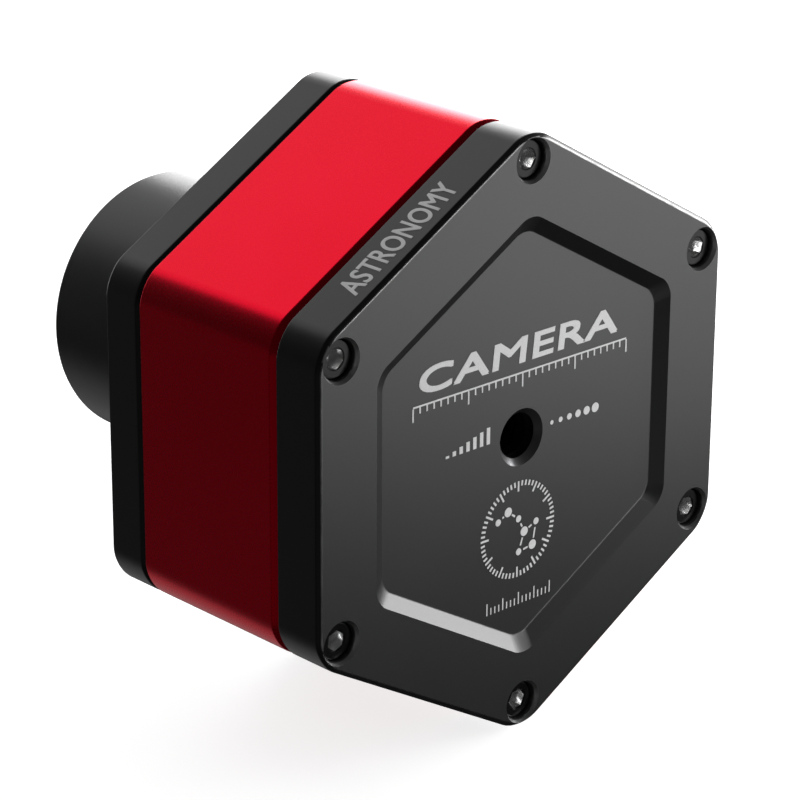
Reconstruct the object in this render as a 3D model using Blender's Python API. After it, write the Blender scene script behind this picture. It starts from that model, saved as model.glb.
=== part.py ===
# Small hexagonal astronomy camera with a screw-in 1.25 inch nosepiece.
# Metres, +Z up. +Y runs along the optical axis towards the nosepiece, and the rear face looks along -Y.
# The origin is the middle of the nosepiece's shoulder, where it stops in a telescope's drawtube.

import math

import bmesh
import bpy

MM = 0.001
GAP = 0.3 * MM  # left between pieces that touch

# Housing: a red tube between two black covers, all with one hexagonal outline that has a corner on top
ACROSS_FLATS = 60.0 * MM
CORNER_RADIUS = 5.0 * MM
FRONT_COVER_THICKNESS = 5.8 * MM
SHELL_LENGTH = 21.5 * MM
REAR_COVER_THICKNESS = 6.2 * MM
SHELL_WALL = 3.8 * MM
RIM_CHAMFER = 0.4 * MM
SHELL_REAR_CHAMFER = 1.0 * MM
FRONT_COVER_REAR_CHAMFER = 0.7 * MM

# Socket-head screws at the six corners, from both ends
SCREW_RADIUS = 1.25 * MM
SCREW_LENGTH = 8.0 * MM
SCREW_HEAD_RADIUS = 2.15 * MM
SCREW_HEAD_HEIGHT = 2.5 * MM
SCREW_HEAD_SINK = 0.9 * MM
SCREW_KEY_ACROSS_FLATS = 2.0 * MM
SCREW_KEY_DEPTH = 1.3 * MM
SCREW_TO_CORNER = 2.9 * MM
SCREW_CHANNEL_WALL = 1.7 * MM

# Rear cover: shallow hexagonal panel outside, pocket and threaded boss inside
PANEL_ACROSS_FLATS = 43.9 * MM
PANEL_FLOOR_ACROSS_FLATS = 40.7 * MM
PANEL_DEPTH = 1.0 * MM
PANEL_CORNER_RADIUS = 2.6 * MM
REAR_POCKET_DEPTH = 1.5 * MM
TRIPOD_HOLE_RADIUS = 2.55 * MM
TRIPOD_HOLE_DEPTH = 5.4 * MM
TRIPOD_HOLE_CHAMFER = 0.6 * MM
TRIPOD_BOSS_WALL = 2.4 * MM
TRIPOD_BOSS_FLOOR = 1.0 * MM

# Nosepiece: 1.25 inch barrel, knurled flange, M42 thread behind it, M28.5 filter thread in its mouth
BARREL_RADIUS = 15.85 * MM
BARREL_LENGTH = 23.7 * MM
BARREL_BORE_RADIUS = 13.6 * MM
BARREL_CHAMFER = 0.4 * MM
FILTER_THREAD_RADIUS = 14.0 * MM
FILTER_THREAD_DEPTH = 5.0 * MM
NOSE_THREAD_RADIUS = 20.5 * MM
NOSE_THREAD_LENGTH = 5.1 * MM
FLANGE_OVERHANG = 2.4 * MM
FLANGE_THICKNESS = 3.0 * MM
NOSE_SEAL_THICKNESS = 0.5 * MM
NOSE_SEAL_WIDTH = 1.5 * MM

# Window in the front cover
NOSE_BORE_DEPTH = 5.0 * MM
WINDOW_RADIUS = 12.8 * MM
WINDOW_THICKNESS = 1.1 * MM
WINDOW_SEAL_THICKNESS = 0.5 * MM
WINDOW_SEAL_WIDTH = 1.6 * MM
WINDOW_RING_OVERHANG = 1.8 * MM
WINDOW_RING_THICKNESS = 1.5 * MM
WINDOW_RING_INSET = 0.9 * MM
WINDOW_RING_SLOT = 1.6 * MM
LIGHT_HOLE_RADIUS = 10.5 * MM
LEDGE_THICKNESS = 1.0 * MM
BOSS_WALL = 2.6 * MM

# Sensor and its board
BAFFLE_THICKNESS = 0.6 * MM
BAFFLE_APERTURE = (8.6 * MM, 6.4 * MM)
SENSOR_GLASS = (9.8 * MM, 7.6 * MM)
SENSOR_GLASS_THICKNESS = 0.7 * MM
SENSOR_PACKAGE = (12.0 * MM, 9.4 * MM)
SENSOR_PACKAGE_THICKNESS = 1.7 * MM
BAFFLE_TO_SENSOR = 0.5 * MM
BOARD_THICKNESS = 1.6 * MM
BOARD_HALF_HEIGHT = 15.5 * MM
BOARD_LEFT = -15.0 * MM
BOARD_TO_SOCKETS = 1.3 * MM
BOARD_HOLE_INSET = 2.6 * MM

# Pillars and screws between the boards
POST_RADIUS = 2.3 * MM
POST_HOLE_DEPTH = 2.9 * MM
STANDOFF_ACROSS_FLATS = 4.4 * MM
STUD_RADIUS = 1.0 * MM
STUD_LENGTH = 4.7 * MM
STANDOFF_HOLE_DEPTH = 4.5 * MM
BOARD_SCREW_LENGTH = 5.0 * MM
BOARD_SCREW_HEAD_RADIUS = 1.8 * MM
BOARD_SCREW_HEAD_HEIGHT = 1.2 * MM

# Heat path and main board
SENSOR_PAD_THICKNESS = 1.0 * MM
SENSOR_PAD = (12.0 * MM, 14.0 * MM)
SENSOR_PAD_CENTRE_X = -2.6 * MM
COOLING_PLATE_THICKNESS = 2.5 * MM
COOLING_PLATE_TO_CONNECTOR = 0.7 * MM
CHIP_PAD_THICKNESS = 2.0 * MM
CHIP_THICKNESS = 1.2 * MM
CONNECTOR_WIDTH = 4.0 * MM
CONNECTOR_HEIGHT = 14.0 * MM
CONNECTOR_INSET = 2.3 * MM
MAIN_BOARD_TO_MOUTH = 5.4 * MM
MAIN_BOARD_CORNER = (4.0 * MM, 3.0 * MM)

# Sockets in the flat at +X
SOCKET_LENGTH = 17.2 * MM
SOCKET_SINK = 0.6 * MM
SOCKET_SPACING = 1.9 * MM
USB_WIDTH = 12.1 * MM
USB_BODY_HEIGHT = 10.0 * MM
USB_STEP_WIDTH = 8.8 * MM
USB_STEP_HEIGHT = 2.9 * MM
USB_WALL = 0.5 * MM
USB_BACK_LENGTH = 4.0 * MM
USB_TONGUE = (5.6 * MM, 3.2 * MM)
USB_TONGUE_SINK = 1.2 * MM
GUIDE_WIDTH = 12.2 * MM
GUIDE_HEIGHT = 11.6 * MM
GUIDE_MOUTH = (9.9 * MM, 6.9 * MM)
GUIDE_LATCH = (6.4 * MM, 1.9 * MM)
GUIDE_FLOOR = 1.6 * MM
GUIDE_DEPTH = 13.0 * MM

# Facets
BIG_SIDES = 48
SMALL_SIDES = 12
CORNER_STEPS = 5
CAVITY_STEPS = 6
SMOOTH_ANGLE = math.radians(35)

# Places along the axis, from the shoulder backwards
flange_rear = -FLANGE_THICKNESS
nose_seal_front = flange_rear - GAP
nose_seal_rear = nose_seal_front - NOSE_SEAL_THICKNESS
cover_face = nose_seal_rear - GAP
front_cover_rear = cover_face - FRONT_COVER_THICKNESS
shell_front = front_cover_rear - GAP
shell_rear = shell_front - SHELL_LENGTH
rear_cover_front = shell_rear - GAP
rear_face = rear_cover_front - REAR_COVER_THICKNESS
nose_bore_floor = cover_face - NOSE_BORE_DEPTH
window_ring_rear = nose_bore_floor - WINDOW_RING_THICKNESS
window_front = window_ring_rear - GAP
window_rear = window_front - WINDOW_THICKNESS
window_seal_front = window_rear - GAP
window_seal_rear = window_seal_front - WINDOW_SEAL_THICKNESS
ledge_front = window_seal_rear - GAP
boss_rear = ledge_front - LEDGE_THICKNESS
baffle_front = boss_rear - GAP
baffle_rear = baffle_front - BAFFLE_THICKNESS
sensor_glass_front = baffle_rear - BAFFLE_TO_SENSOR
sensor_glass_rear = sensor_glass_front - SENSOR_GLASS_THICKNESS
sensor_front = sensor_glass_rear - GAP
sensor_rear = sensor_front - SENSOR_PACKAGE_THICKNESS
sensor_board_front = sensor_rear - GAP
sensor_board_rear = sensor_board_front - BOARD_THICKNESS
sensor_pad_front = sensor_board_rear - GAP
sensor_pad_rear = sensor_pad_front - SENSOR_PAD_THICKNESS
plate_front = sensor_pad_rear - GAP
plate_rear = plate_front - COOLING_PLATE_THICKNESS
chip_pad_front = plate_rear - GAP
chip_pad_rear = chip_pad_front - CHIP_PAD_THICKNESS
chip_front = chip_pad_rear - GAP
chip_rear = chip_front - CHIP_THICKNESS
main_board_front = chip_rear - GAP
main_board_rear = main_board_front - BOARD_THICKNESS

# Places across the axis
apothem = ACROSS_FLATS / 2
corner_reach = (apothem - CORNER_RADIUS) / math.cos(math.pi / 6) + CORNER_RADIUS
screw_circle = corner_reach - SCREW_TO_CORNER
screw_hole_radius = SCREW_RADIUS + GAP
counterbore_radius = SCREW_HEAD_RADIUS + GAP
counterbore_depth = SCREW_HEAD_SINK + SCREW_HEAD_HEIGHT + GAP
corner_angles = [math.radians(30 + 60 * corner) for corner in range(6)]
screw_places = [(screw_circle * math.cos(angle), screw_circle * math.sin(angle)) for angle in corner_angles]
cavity_apothem = apothem - SHELL_WALL
cavity_reach = screw_circle - screw_hole_radius - SCREW_CHANNEL_WALL
cavity_corner_radius = (cavity_apothem / math.cos(math.pi / 6) - cavity_reach) / (1 / math.cos(math.pi / 6) - 1)
nose_bore_radius = NOSE_THREAD_RADIUS + GAP
flange_radius = NOSE_THREAD_RADIUS + FLANGE_OVERHANG
window_pocket_radius = WINDOW_RADIUS + GAP
ring_pocket_radius = window_pocket_radius + WINDOW_RING_OVERHANG
boss_radius = ring_pocket_radius + BOSS_WALL
socket_mouth = apothem - SOCKET_SINK
socket_back = socket_mouth - SOCKET_LENGTH
sensor_board_right = socket_back - BOARD_TO_SOCKETS
main_board_right = socket_mouth - MAIN_BOARD_TO_MOUTH
pillar_x = (BOARD_LEFT + BOARD_HOLE_INSET, sensor_board_right - BOARD_HOLE_INSET)
pillar_z = BOARD_HALF_HEIGHT - BOARD_HOLE_INSET
pillar_places = [(x, z) for x in pillar_x for z in (pillar_z, -pillar_z)]
stud_hole_radius = STUD_RADIUS + GAP
baffle_radius = min(math.hypot(x, z) for x, z in pillar_places) - POST_RADIUS - GAP
connector_right = sensor_board_right - CONNECTOR_INSET
connector_left = connector_right - CONNECTOR_WIDTH
plate_right = connector_left - COOLING_PLATE_TO_CONNECTOR
usb_centre = SOCKET_SPACING / 2 + USB_WIDTH / 2
guide_centre = -SOCKET_SPACING / 2 - GUIDE_WIDTH / 2


def rounded_hexagon(across_flats, radius, steps):
    # Outline with a corner at the top, as (x, z) points around the axis.
    reach = (across_flats / 2 - radius) / math.cos(math.pi / 6)
    points = []
    for towards in corner_angles:
        for step in range(steps + 1):
            angle = towards + math.radians(60 * step / steps - 30)
            x = reach * math.cos(towards) + radius * math.cos(angle)
            z = reach * math.sin(towards) + radius * math.sin(angle)
            points.append((x, z))
    return points


def regular_outline(radius, sides, turn=0.0):
    angles = [turn + math.tau * side / sides for side in range(sides)]
    return [(radius * math.cos(angle), radius * math.sin(angle)) for angle in angles]


def hexagon_key(across_flats):
    return regular_outline(across_flats / 2 / math.cos(math.pi / 6), 6)


def rectangle(x_low, x_high, z_low, z_high):
    return [(x_low, z_low), (x_high, z_low), (x_high, z_high), (x_low, z_high)]


def centred_rectangle(size, centre=(0.0, 0.0)):
    x, z = centre
    width, height = size
    return rectangle(x - width / 2, x + width / 2, z - height / 2, z + height / 2)


def verts_at(bm, y):
    return [vert for vert in bm.verts if abs(vert.co.y - y) < GAP / 100]


def edges_at(bm, y):
    return [edge for edge in bm.edges if all(abs(vert.co.y - y) < GAP / 100 for vert in edge.verts)]


def extruded(outline, rear, front):
    # Closed prism along the axis.
    bm = bmesh.new()
    face = bm.faces.new([bm.verts.new((x, rear, z)) for x, z in outline])
    moved = bmesh.ops.extrude_face_region(bm, geom=[face])["geom"]
    verts = [item for item in moved if isinstance(item, bmesh.types.BMVert)]
    bmesh.ops.translate(bm, vec=(0, front - rear, 0), verts=verts)
    bmesh.ops.recalc_face_normals(bm, faces=bm.faces)
    return bm


def chamfered(bm, y, width):
    bmesh.ops.bevel(bm, geom=edges_at(bm, y), offset=width, segments=1, profile=0.5, affect="EDGES")
    return bm


def turned(profile, sides, closed):
    # Spins (radius, y) points around the axis. A closed profile makes a ring, an open one starts and
    # ends on the axis.
    bm = bmesh.new()
    verts = [bm.verts.new((radius, y, 0)) for radius, y in profile]
    pairs = list(zip(verts, verts[1:]))
    if closed:
        pairs.append((verts[-1], verts[0]))
    edges = [bm.edges.new(pair) for pair in pairs]
    bmesh.ops.spin(bm, geom=verts + edges, cent=(0, 0, 0), axis=(0, 1, 0), angle=math.tau, steps=sides)
    bmesh.ops.remove_doubles(bm, verts=bm.verts, dist=GAP / 100)
    bmesh.ops.recalc_face_normals(bm, faces=bm.faces)
    return bm


def ring(inner, outer, rear, front):
    return turned([(inner, rear), (outer, rear), (outer, front), (inner, front)], BIG_SIDES, closed=True)


def disc(radius, rear, front, sides):
    return turned([(0, rear), (radius, rear), (radius, front), (0, front)], sides, closed=False)


def repeated(bm, places):
    # Moves a copy of the mesh to each (x, z) place.
    first = bm.verts[:] + bm.edges[:] + bm.faces[:]
    first_verts = bm.verts[:]
    for x, z in places:
        copy = bmesh.ops.duplicate(bm, geom=first)["geom"]
        verts = [item for item in copy if isinstance(item, bmesh.types.BMVert)]
        bmesh.ops.translate(bm, vec=(x, 0, z), verts=verts)
    bmesh.ops.delete(bm, geom=first_verts, context="VERTS")
    return bm


def add_mesh(name, bm):
    mesh = bpy.data.meshes.new(name)
    bm.to_mesh(mesh)
    bm.free()
    mesh.shade_smooth()
    mesh.set_sharp_from_angle(angle=SMOOTH_ANGLE)
    return mesh


def add_object(name, mesh, material):
    piece = bpy.data.objects.new(name, mesh)
    bpy.context.collection.objects.link(piece)
    if not mesh.materials:
        mesh.materials.append(material)
    return piece


def add_piece(name, bm, material):
    return add_object(name, add_mesh(name, bm), material)


def combine(piece, bm, operation):
    # Cuts the mesh from the piece, or joins it on, with a hidden tool object.
    name = f"{piece.name}_tool_{len(piece.modifiers) + 1}"
    tool = bpy.data.objects.new(name, add_mesh(name, bm))
    bpy.context.collection.objects.link(tool)
    tool.hide_render = True
    tool.display_type = "WIRE"
    boolean = piece.modifiers.new(name, "BOOLEAN")
    boolean.operation = operation
    boolean.solver = "EXACT"
    boolean.object = tool


def cut(piece, bm):
    combine(piece, bm, "DIFFERENCE")


def join(piece, bm):
    combine(piece, bm, "UNION")


def make_material(name, colour, roughness, metallic):
    material = bpy.data.materials.new(name)
    material.use_nodes = True
    shader = material.node_tree.nodes["Principled BSDF"]
    shader.inputs["Base Color"].default_value = (*colour, 1.0)
    shader.inputs["Roughness"].default_value = roughness
    shader.inputs["Metallic"].default_value = metallic
    material.diffuse_color = (*colour, 1.0)
    return material


def counterbore(face, inwards):
    # Tool for one screw's hole: the head's counterbore at the face, then the clearance hole.
    beyond = face - inwards * GAP
    floor = face + inwards * counterbore_depth
    end = face + inwards * (counterbore_depth + SCREW_LENGTH)
    profile = [
        (0, beyond),
        (counterbore_radius, beyond),
        (counterbore_radius, floor),
        (screw_hole_radius, floor),
        (screw_hole_radius, end),
        (0, end),
    ]
    return repeated(turned(profile, SMALL_SIDES, closed=False), screw_places)


def build_rear_cover(material):
    outline = rounded_hexagon(ACROSS_FLATS, CORNER_RADIUS, CORNER_STEPS)
    body = chamfered(extruded(outline, rear_face, rear_cover_front), rear_face, RIM_CHAMFER)
    piece = add_piece("rear_cover", body, material)
    pocket_floor = rear_cover_front - REAR_POCKET_DEPTH
    pocket = rounded_hexagon(2 * cavity_apothem, cavity_corner_radius, CAVITY_STEPS)
    cut(piece, extruded(pocket, pocket_floor, rear_cover_front + GAP))
    # The panel's walls slope from its outline to its smaller floor. The tool goes on at the same slope
    # to as far behind the face.
    panel_floor = rear_face + PANEL_DEPTH
    panel_open = rear_face - PANEL_DEPTH
    open_across_flats = 2 * PANEL_ACROSS_FLATS - PANEL_FLOOR_ACROSS_FLATS
    outline = rounded_hexagon(open_across_flats, PANEL_CORNER_RADIUS, CORNER_STEPS)
    panel = extruded(outline, panel_open, panel_floor)
    shrink = PANEL_FLOOR_ACROSS_FLATS / open_across_flats
    bmesh.ops.scale(panel, vec=(shrink, 1, shrink), verts=verts_at(panel, panel_floor))
    cut(piece, panel)
    hole_end = panel_floor + TRIPOD_HOLE_DEPTH
    boss_front = hole_end + TRIPOD_BOSS_FLOOR
    join(piece, disc(TRIPOD_HOLE_RADIUS + TRIPOD_BOSS_WALL, pocket_floor - GAP, boss_front, SMALL_SIDES))
    mouth_radius = TRIPOD_HOLE_RADIUS + TRIPOD_HOLE_CHAMFER
    hole = [
        (0, panel_floor - GAP),
        (mouth_radius + GAP, panel_floor - GAP),
        (TRIPOD_HOLE_RADIUS, panel_floor + TRIPOD_HOLE_CHAMFER),
        (TRIPOD_HOLE_RADIUS, hole_end),
        (0, hole_end),
    ]
    cut(piece, turned(hole, 2 * SMALL_SIDES, closed=False))
    cut(piece, counterbore(rear_face, 1))


def build_shell(material):
    outline = rounded_hexagon(ACROSS_FLATS, CORNER_RADIUS, CORNER_STEPS)
    body = chamfered(extruded(outline, shell_rear, shell_front), shell_rear, SHELL_REAR_CHAMFER)
    piece = add_piece("shell", body, material)
    cavity = rounded_hexagon(2 * cavity_apothem, cavity_corner_radius, CAVITY_STEPS)
    cut(piece, extruded(cavity, shell_rear - GAP, shell_front + GAP))
    channel = disc(screw_hole_radius, shell_rear - GAP, shell_front + GAP, SMALL_SIDES)
    cut(piece, repeated(channel, screw_places))
    # Windows for the two sockets
    inside = cavity_apothem - SHELL_WALL
    outside = apothem + SHELL_WALL
    rear = main_board_front
    for centre, width, height in (
        (usb_centre, USB_WIDTH, USB_BODY_HEIGHT + USB_STEP_HEIGHT),
        (guide_centre, GUIDE_WIDTH, GUIDE_HEIGHT),
    ):
        low = centre - width / 2 - GAP
        high = centre + width / 2 + GAP
        cut(piece, extruded(rectangle(inside, outside, low, high), rear, rear + height + 2 * GAP))


def build_front_cover(material):
    outline = rounded_hexagon(ACROSS_FLATS, CORNER_RADIUS, CORNER_STEPS)
    body = chamfered(extruded(outline, front_cover_rear, cover_face), cover_face, RIM_CHAMFER)
    piece = add_piece("front_cover", chamfered(body, front_cover_rear, FRONT_COVER_REAR_CHAMFER), material)
    cut(piece, counterbore(cover_face, -1))
    join(piece, disc(boss_radius, boss_rear, front_cover_rear + GAP, BIG_SIDES))
    post_end = sensor_board_front + GAP
    post = disc(POST_RADIUS, post_end, front_cover_rear + 2 * GAP, SMALL_SIDES)
    join(piece, repeated(post, pillar_places))
    post_hole = disc(stud_hole_radius, post_end - GAP, post_end + POST_HOLE_DEPTH, SMALL_SIDES)
    cut(piece, repeated(post_hole, pillar_places))
    opening = [
        (0, cover_face + GAP),
        (nose_bore_radius, cover_face + GAP),
        (nose_bore_radius, nose_bore_floor),
        (ring_pocket_radius, nose_bore_floor),
        (ring_pocket_radius, window_ring_rear),
        (window_pocket_radius, window_ring_rear),
        (window_pocket_radius, ledge_front),
        (LIGHT_HOLE_RADIUS, ledge_front),
        (LIGHT_HOLE_RADIUS, boss_rear - GAP),
        (0, boss_rear - GAP),
    ]
    cut(piece, turned(opening, BIG_SIDES, closed=False))


def build_case_screws(material):
    # One mesh, with the head's bearing face at its origin and the shaft along +Y
    profile = [
        (0, -SCREW_HEAD_HEIGHT),
        (SCREW_HEAD_RADIUS, -SCREW_HEAD_HEIGHT),
        (SCREW_HEAD_RADIUS, 0),
        (SCREW_RADIUS, 0),
        (SCREW_RADIUS, SCREW_LENGTH),
        (0, SCREW_LENGTH),
    ]
    mesh = add_mesh("case_screw", turned(profile, SMALL_SIDES, closed=False))
    ends = (
        ("rear", rear_face + counterbore_depth - GAP, 0.0),
        ("front", cover_face - counterbore_depth + GAP, math.pi),
    )
    for end, seat, turn in ends:
        for number, (x, z) in enumerate(screw_places, start=1):
            screw = add_object(f"{end}_screw_{number}", mesh, material)
            screw.location = (x, seat, z)
            screw.rotation_euler = (0, 0, turn)
            key_front = -SCREW_HEAD_HEIGHT + SCREW_KEY_DEPTH
            key = extruded(hexagon_key(SCREW_KEY_ACROSS_FLATS), -SCREW_HEAD_HEIGHT - GAP, key_front)
            cut(screw, key)
            tool = screw.modifiers[0].object
            tool.location = screw.location
            tool.rotation_euler = screw.rotation_euler


def build_nosepiece(material):
    thread_rear = flange_rear - NOSE_THREAD_LENGTH
    filter_rear = BARREL_LENGTH - FILTER_THREAD_DEPTH
    profile = [
        (BARREL_BORE_RADIUS, thread_rear),
        (NOSE_THREAD_RADIUS, thread_rear),
        (NOSE_THREAD_RADIUS, flange_rear),
        (flange_radius, flange_rear),
        (flange_radius, 0),
        (BARREL_RADIUS, 0),
        (BARREL_RADIUS, BARREL_LENGTH - BARREL_CHAMFER),
        (BARREL_RADIUS - BARREL_CHAMFER, BARREL_LENGTH),
        (FILTER_THREAD_RADIUS, BARREL_LENGTH),
        (FILTER_THREAD_RADIUS, filter_rear),
        (BARREL_BORE_RADIUS, filter_rear),
    ]
    add_piece("nosepiece", turned(profile, BIG_SIDES, closed=True), material)


def build_nose_seal(material):
    outer = flange_radius - GAP
    add_piece("nose_seal", ring(outer - NOSE_SEAL_WIDTH, outer, nose_seal_rear, nose_seal_front), material)


def build_window(glass, rubber, metal):
    add_piece("window_glass", disc(WINDOW_RADIUS, window_rear, window_front, BIG_SIDES), glass)
    seal = ring(WINDOW_RADIUS - WINDOW_SEAL_WIDTH, WINDOW_RADIUS, window_seal_rear, window_seal_front)
    add_piece("window_seal", seal, rubber)
    outer = ring_pocket_radius - GAP
    inner = WINDOW_RADIUS - WINDOW_RING_INSET
    piece = add_piece("window_ring", ring(inner, outer, window_ring_rear, nose_bore_floor), metal)
    # Two slots for the spanner, across one diameter
    slot = rectangle(-ring_pocket_radius, ring_pocket_radius, -WINDOW_RING_SLOT / 2, WINDOW_RING_SLOT / 2)
    cut(piece, extruded(slot, nose_bore_floor - WINDOW_RING_THICKNESS / 2, nose_bore_floor + GAP))


def build_sensor(ceramic, glass, black):
    piece = add_piece("sensor_baffle", disc(baffle_radius, baffle_rear, baffle_front, BIG_SIDES), black)
    cut(piece, extruded(centred_rectangle(BAFFLE_APERTURE), baffle_rear - GAP, baffle_front + GAP))
    cover = extruded(centred_rectangle(SENSOR_GLASS), sensor_glass_rear, sensor_glass_front)
    add_piece("sensor_glass", cover, glass)
    add_piece("sensor_package", extruded(centred_rectangle(SENSOR_PACKAGE), sensor_rear, sensor_front), ceramic)


def build_boards(material):
    outline = rectangle(BOARD_LEFT, sensor_board_right, -BOARD_HALF_HEIGHT, BOARD_HALF_HEIGHT)
    sensor_board = add_piece("sensor_board", extruded(outline, sensor_board_rear, sensor_board_front), material)
    holes = disc(stud_hole_radius, sensor_board_rear - GAP, sensor_board_front + GAP, SMALL_SIDES)
    cut(sensor_board, repeated(holes, pillar_places))
    corner_x, corner_z = MAIN_BOARD_CORNER
    outline = [
        (BOARD_LEFT, -BOARD_HALF_HEIGHT),
        (main_board_right - corner_x, -BOARD_HALF_HEIGHT),
        (main_board_right, corner_z - BOARD_HALF_HEIGHT),
        (main_board_right, BOARD_HALF_HEIGHT - corner_z),
        (main_board_right - corner_x, BOARD_HALF_HEIGHT),
        (BOARD_LEFT, BOARD_HALF_HEIGHT),
    ]
    main_board = add_piece("main_board", extruded(outline, main_board_rear, main_board_front), material)
    holes = disc(stud_hole_radius, main_board_rear - GAP, main_board_front + GAP, SMALL_SIDES)
    cut(main_board, repeated(holes, pillar_places))


def build_pillars(brass, steel):
    rear = main_board_front + GAP
    front = sensor_board_rear - GAP
    body = extruded(hexagon_key(STANDOFF_ACROSS_FLATS), rear, front)
    standoff_mesh = add_mesh("board_standoff", body)
    seat = main_board_rear - GAP
    profile = [
        (0, seat - BOARD_SCREW_HEAD_HEIGHT),
        (BOARD_SCREW_HEAD_RADIUS, seat - BOARD_SCREW_HEAD_HEIGHT),
        (BOARD_SCREW_HEAD_RADIUS, seat),
        (STUD_RADIUS, seat),
        (STUD_RADIUS, seat + BOARD_SCREW_LENGTH),
        (0, seat + BOARD_SCREW_LENGTH),
    ]
    screw_mesh = add_mesh("board_screw", turned(profile, SMALL_SIDES, closed=False))
    for number, (x, z) in enumerate(pillar_places, start=1):
        standoff = add_object(f"board_standoff_{number}", standoff_mesh, brass)
        standoff.location = (x, 0, z)
        join(standoff, disc(STUD_RADIUS, front - GAP, front + STUD_LENGTH, SMALL_SIDES))
        cut(standoff, disc(stud_hole_radius, rear - GAP, rear + STANDOFF_HOLE_DEPTH, SMALL_SIDES))
        for boolean in standoff.modifiers:
            boolean.object.location = standoff.location
        screw = add_object(f"board_screw_{number}", screw_mesh, steel)
        screw.location = (x, 0, z)


def build_electronics(chip, pad, plastic):
    pad_outline = centred_rectangle(SENSOR_PAD, (SENSOR_PAD_CENTRE_X, 0))
    add_piece("sensor_pad", extruded(pad_outline, sensor_pad_rear, sensor_pad_front), pad)
    chips = (
        ("processor_chip", (11.0 * MM, 11.0 * MM), (-7.4 * MM, 2.2 * MM)),
        ("memory_chip", (9.0 * MM, 5.6 * MM), (-7.4 * MM, -7.4 * MM)),
        ("usb_chip", (6.0 * MM, 5.0 * MM), (-4.0 * MM, 11.6 * MM)),
    )
    for name, size, centre in chips:
        add_piece(name, extruded(centred_rectangle(size, centre), chip_rear, chip_front), chip)
    pad_outline = centred_rectangle((11.0 * MM, 17.6 * MM), (-7.4 * MM, -1.1 * MM))
    add_piece("chip_pad", extruded(pad_outline, chip_pad_rear, chip_pad_front), pad)
    outline = rectangle(connector_left, connector_right, -CONNECTOR_HEIGHT / 2, CONNECTOR_HEIGHT / 2)
    add_piece("board_connector", extruded(outline, main_board_front + GAP, sensor_board_rear - GAP), plastic)


def build_cooling_plate(material):
    # Follows the shell's inner wall, and ends beside the connector
    outline = rounded_hexagon(2 * (cavity_apothem - GAP), cavity_corner_radius - GAP, CAVITY_STEPS)
    piece = add_piece("cooling_plate", extruded(outline, plate_rear, plate_front), material)
    beyond = apothem + SHELL_WALL
    cut(piece, extruded(rectangle(plate_right, beyond, -beyond, beyond), plate_rear - GAP, plate_front + GAP))
    clearance = STANDOFF_ACROSS_FLATS / 2 / math.cos(math.pi / 6) + GAP
    hole = disc(clearance, plate_rear - GAP, plate_front + GAP, SMALL_SIDES)
    cut(piece, repeated(hole, [(x, z) for x, z in pillar_places if x < plate_right]))


def socket_outline(body_width, body_height, step_width, step_height):
    # Outline across a socket, as (z, y) points up from its board, with a narrower step on top.
    return [
        (-body_width / 2, 0),
        (body_width / 2, 0),
        (body_width / 2, body_height),
        (step_width / 2, body_height),
        (step_width / 2, body_height + step_height),
        (-step_width / 2, body_height + step_height),
        (-step_width / 2, body_height),
        (-body_width / 2, body_height),
    ]


def extruded_sideways(outline, centre, board, left, right):
    # Closed prism along X, from an outline that stands on the board.
    bm = bmesh.new()
    face = bm.faces.new([bm.verts.new((left, board + y, centre + z)) for z, y in outline])
    moved = bmesh.ops.extrude_face_region(bm, geom=[face])["geom"]
    verts = [item for item in moved if isinstance(item, bmesh.types.BMVert)]
    bmesh.ops.translate(bm, vec=(right - left, 0, 0), verts=verts)
    bmesh.ops.recalc_face_normals(bm, faces=bm.faces)
    return bm


def build_usb_socket(metal, plastic):
    board = main_board_front + GAP
    outline = socket_outline(USB_WIDTH, USB_BODY_HEIGHT, USB_STEP_WIDTH, USB_STEP_HEIGHT)
    can = extruded_sideways(outline, usb_centre, board, socket_back, socket_mouth)
    piece = add_piece("usb_shell", can, metal)
    inner_width = USB_WIDTH - 2 * USB_WALL
    inner_height = USB_BODY_HEIGHT - 2 * USB_WALL
    inner = socket_outline(inner_width, inner_height, USB_STEP_WIDTH - 2 * USB_WALL, USB_STEP_HEIGHT)
    hollow = extruded_sideways(inner, usb_centre, board + USB_WALL, socket_back + USB_WALL, socket_mouth + GAP)
    cut(piece, hollow)
    # The insert fills the can's back and carries the tongue
    back_left = socket_back + USB_WALL + GAP
    back = socket_outline(
        inner_width - 2 * GAP, inner_height - 2 * GAP, USB_STEP_WIDTH - 2 * USB_WALL - 2 * GAP, USB_STEP_HEIGHT
    )
    back_bottom = board + USB_WALL + GAP
    back_block = extruded_sideways(back, usb_centre, back_bottom, back_left, back_left + USB_BACK_LENGTH)
    insert = add_piece("usb_tongue", back_block, plastic)
    width, height = USB_TONGUE
    middle = board + USB_BODY_HEIGHT / 2 - height / 2
    tongue = [(-width / 2, 0), (width / 2, 0), (width / 2, height), (-width / 2, height)]
    tongue_left = back_left + USB_BACK_LENGTH - GAP
    join(insert, extruded_sideways(tongue, usb_centre, middle, tongue_left, socket_mouth - USB_TONGUE_SINK))


def build_guide_socket(plastic):
    board = main_board_front + GAP
    width = GUIDE_WIDTH
    block = [(-width / 2, 0), (width / 2, 0), (width / 2, GUIDE_HEIGHT), (-width / 2, GUIDE_HEIGHT)]
    body = extruded_sideways(block, guide_centre, board, socket_back, socket_mouth)
    piece = add_piece("guide_socket", body, plastic)
    mouth_width, mouth_height = GUIDE_MOUTH
    latch_width, latch_height = GUIDE_LATCH
    mouth = socket_outline(mouth_width, mouth_height, latch_width, latch_height)
    floor = board + GUIDE_FLOOR
    cut(piece, extruded_sideways(mouth, guide_centre, floor, socket_mouth - GUIDE_DEPTH, socket_mouth + GAP))


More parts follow.
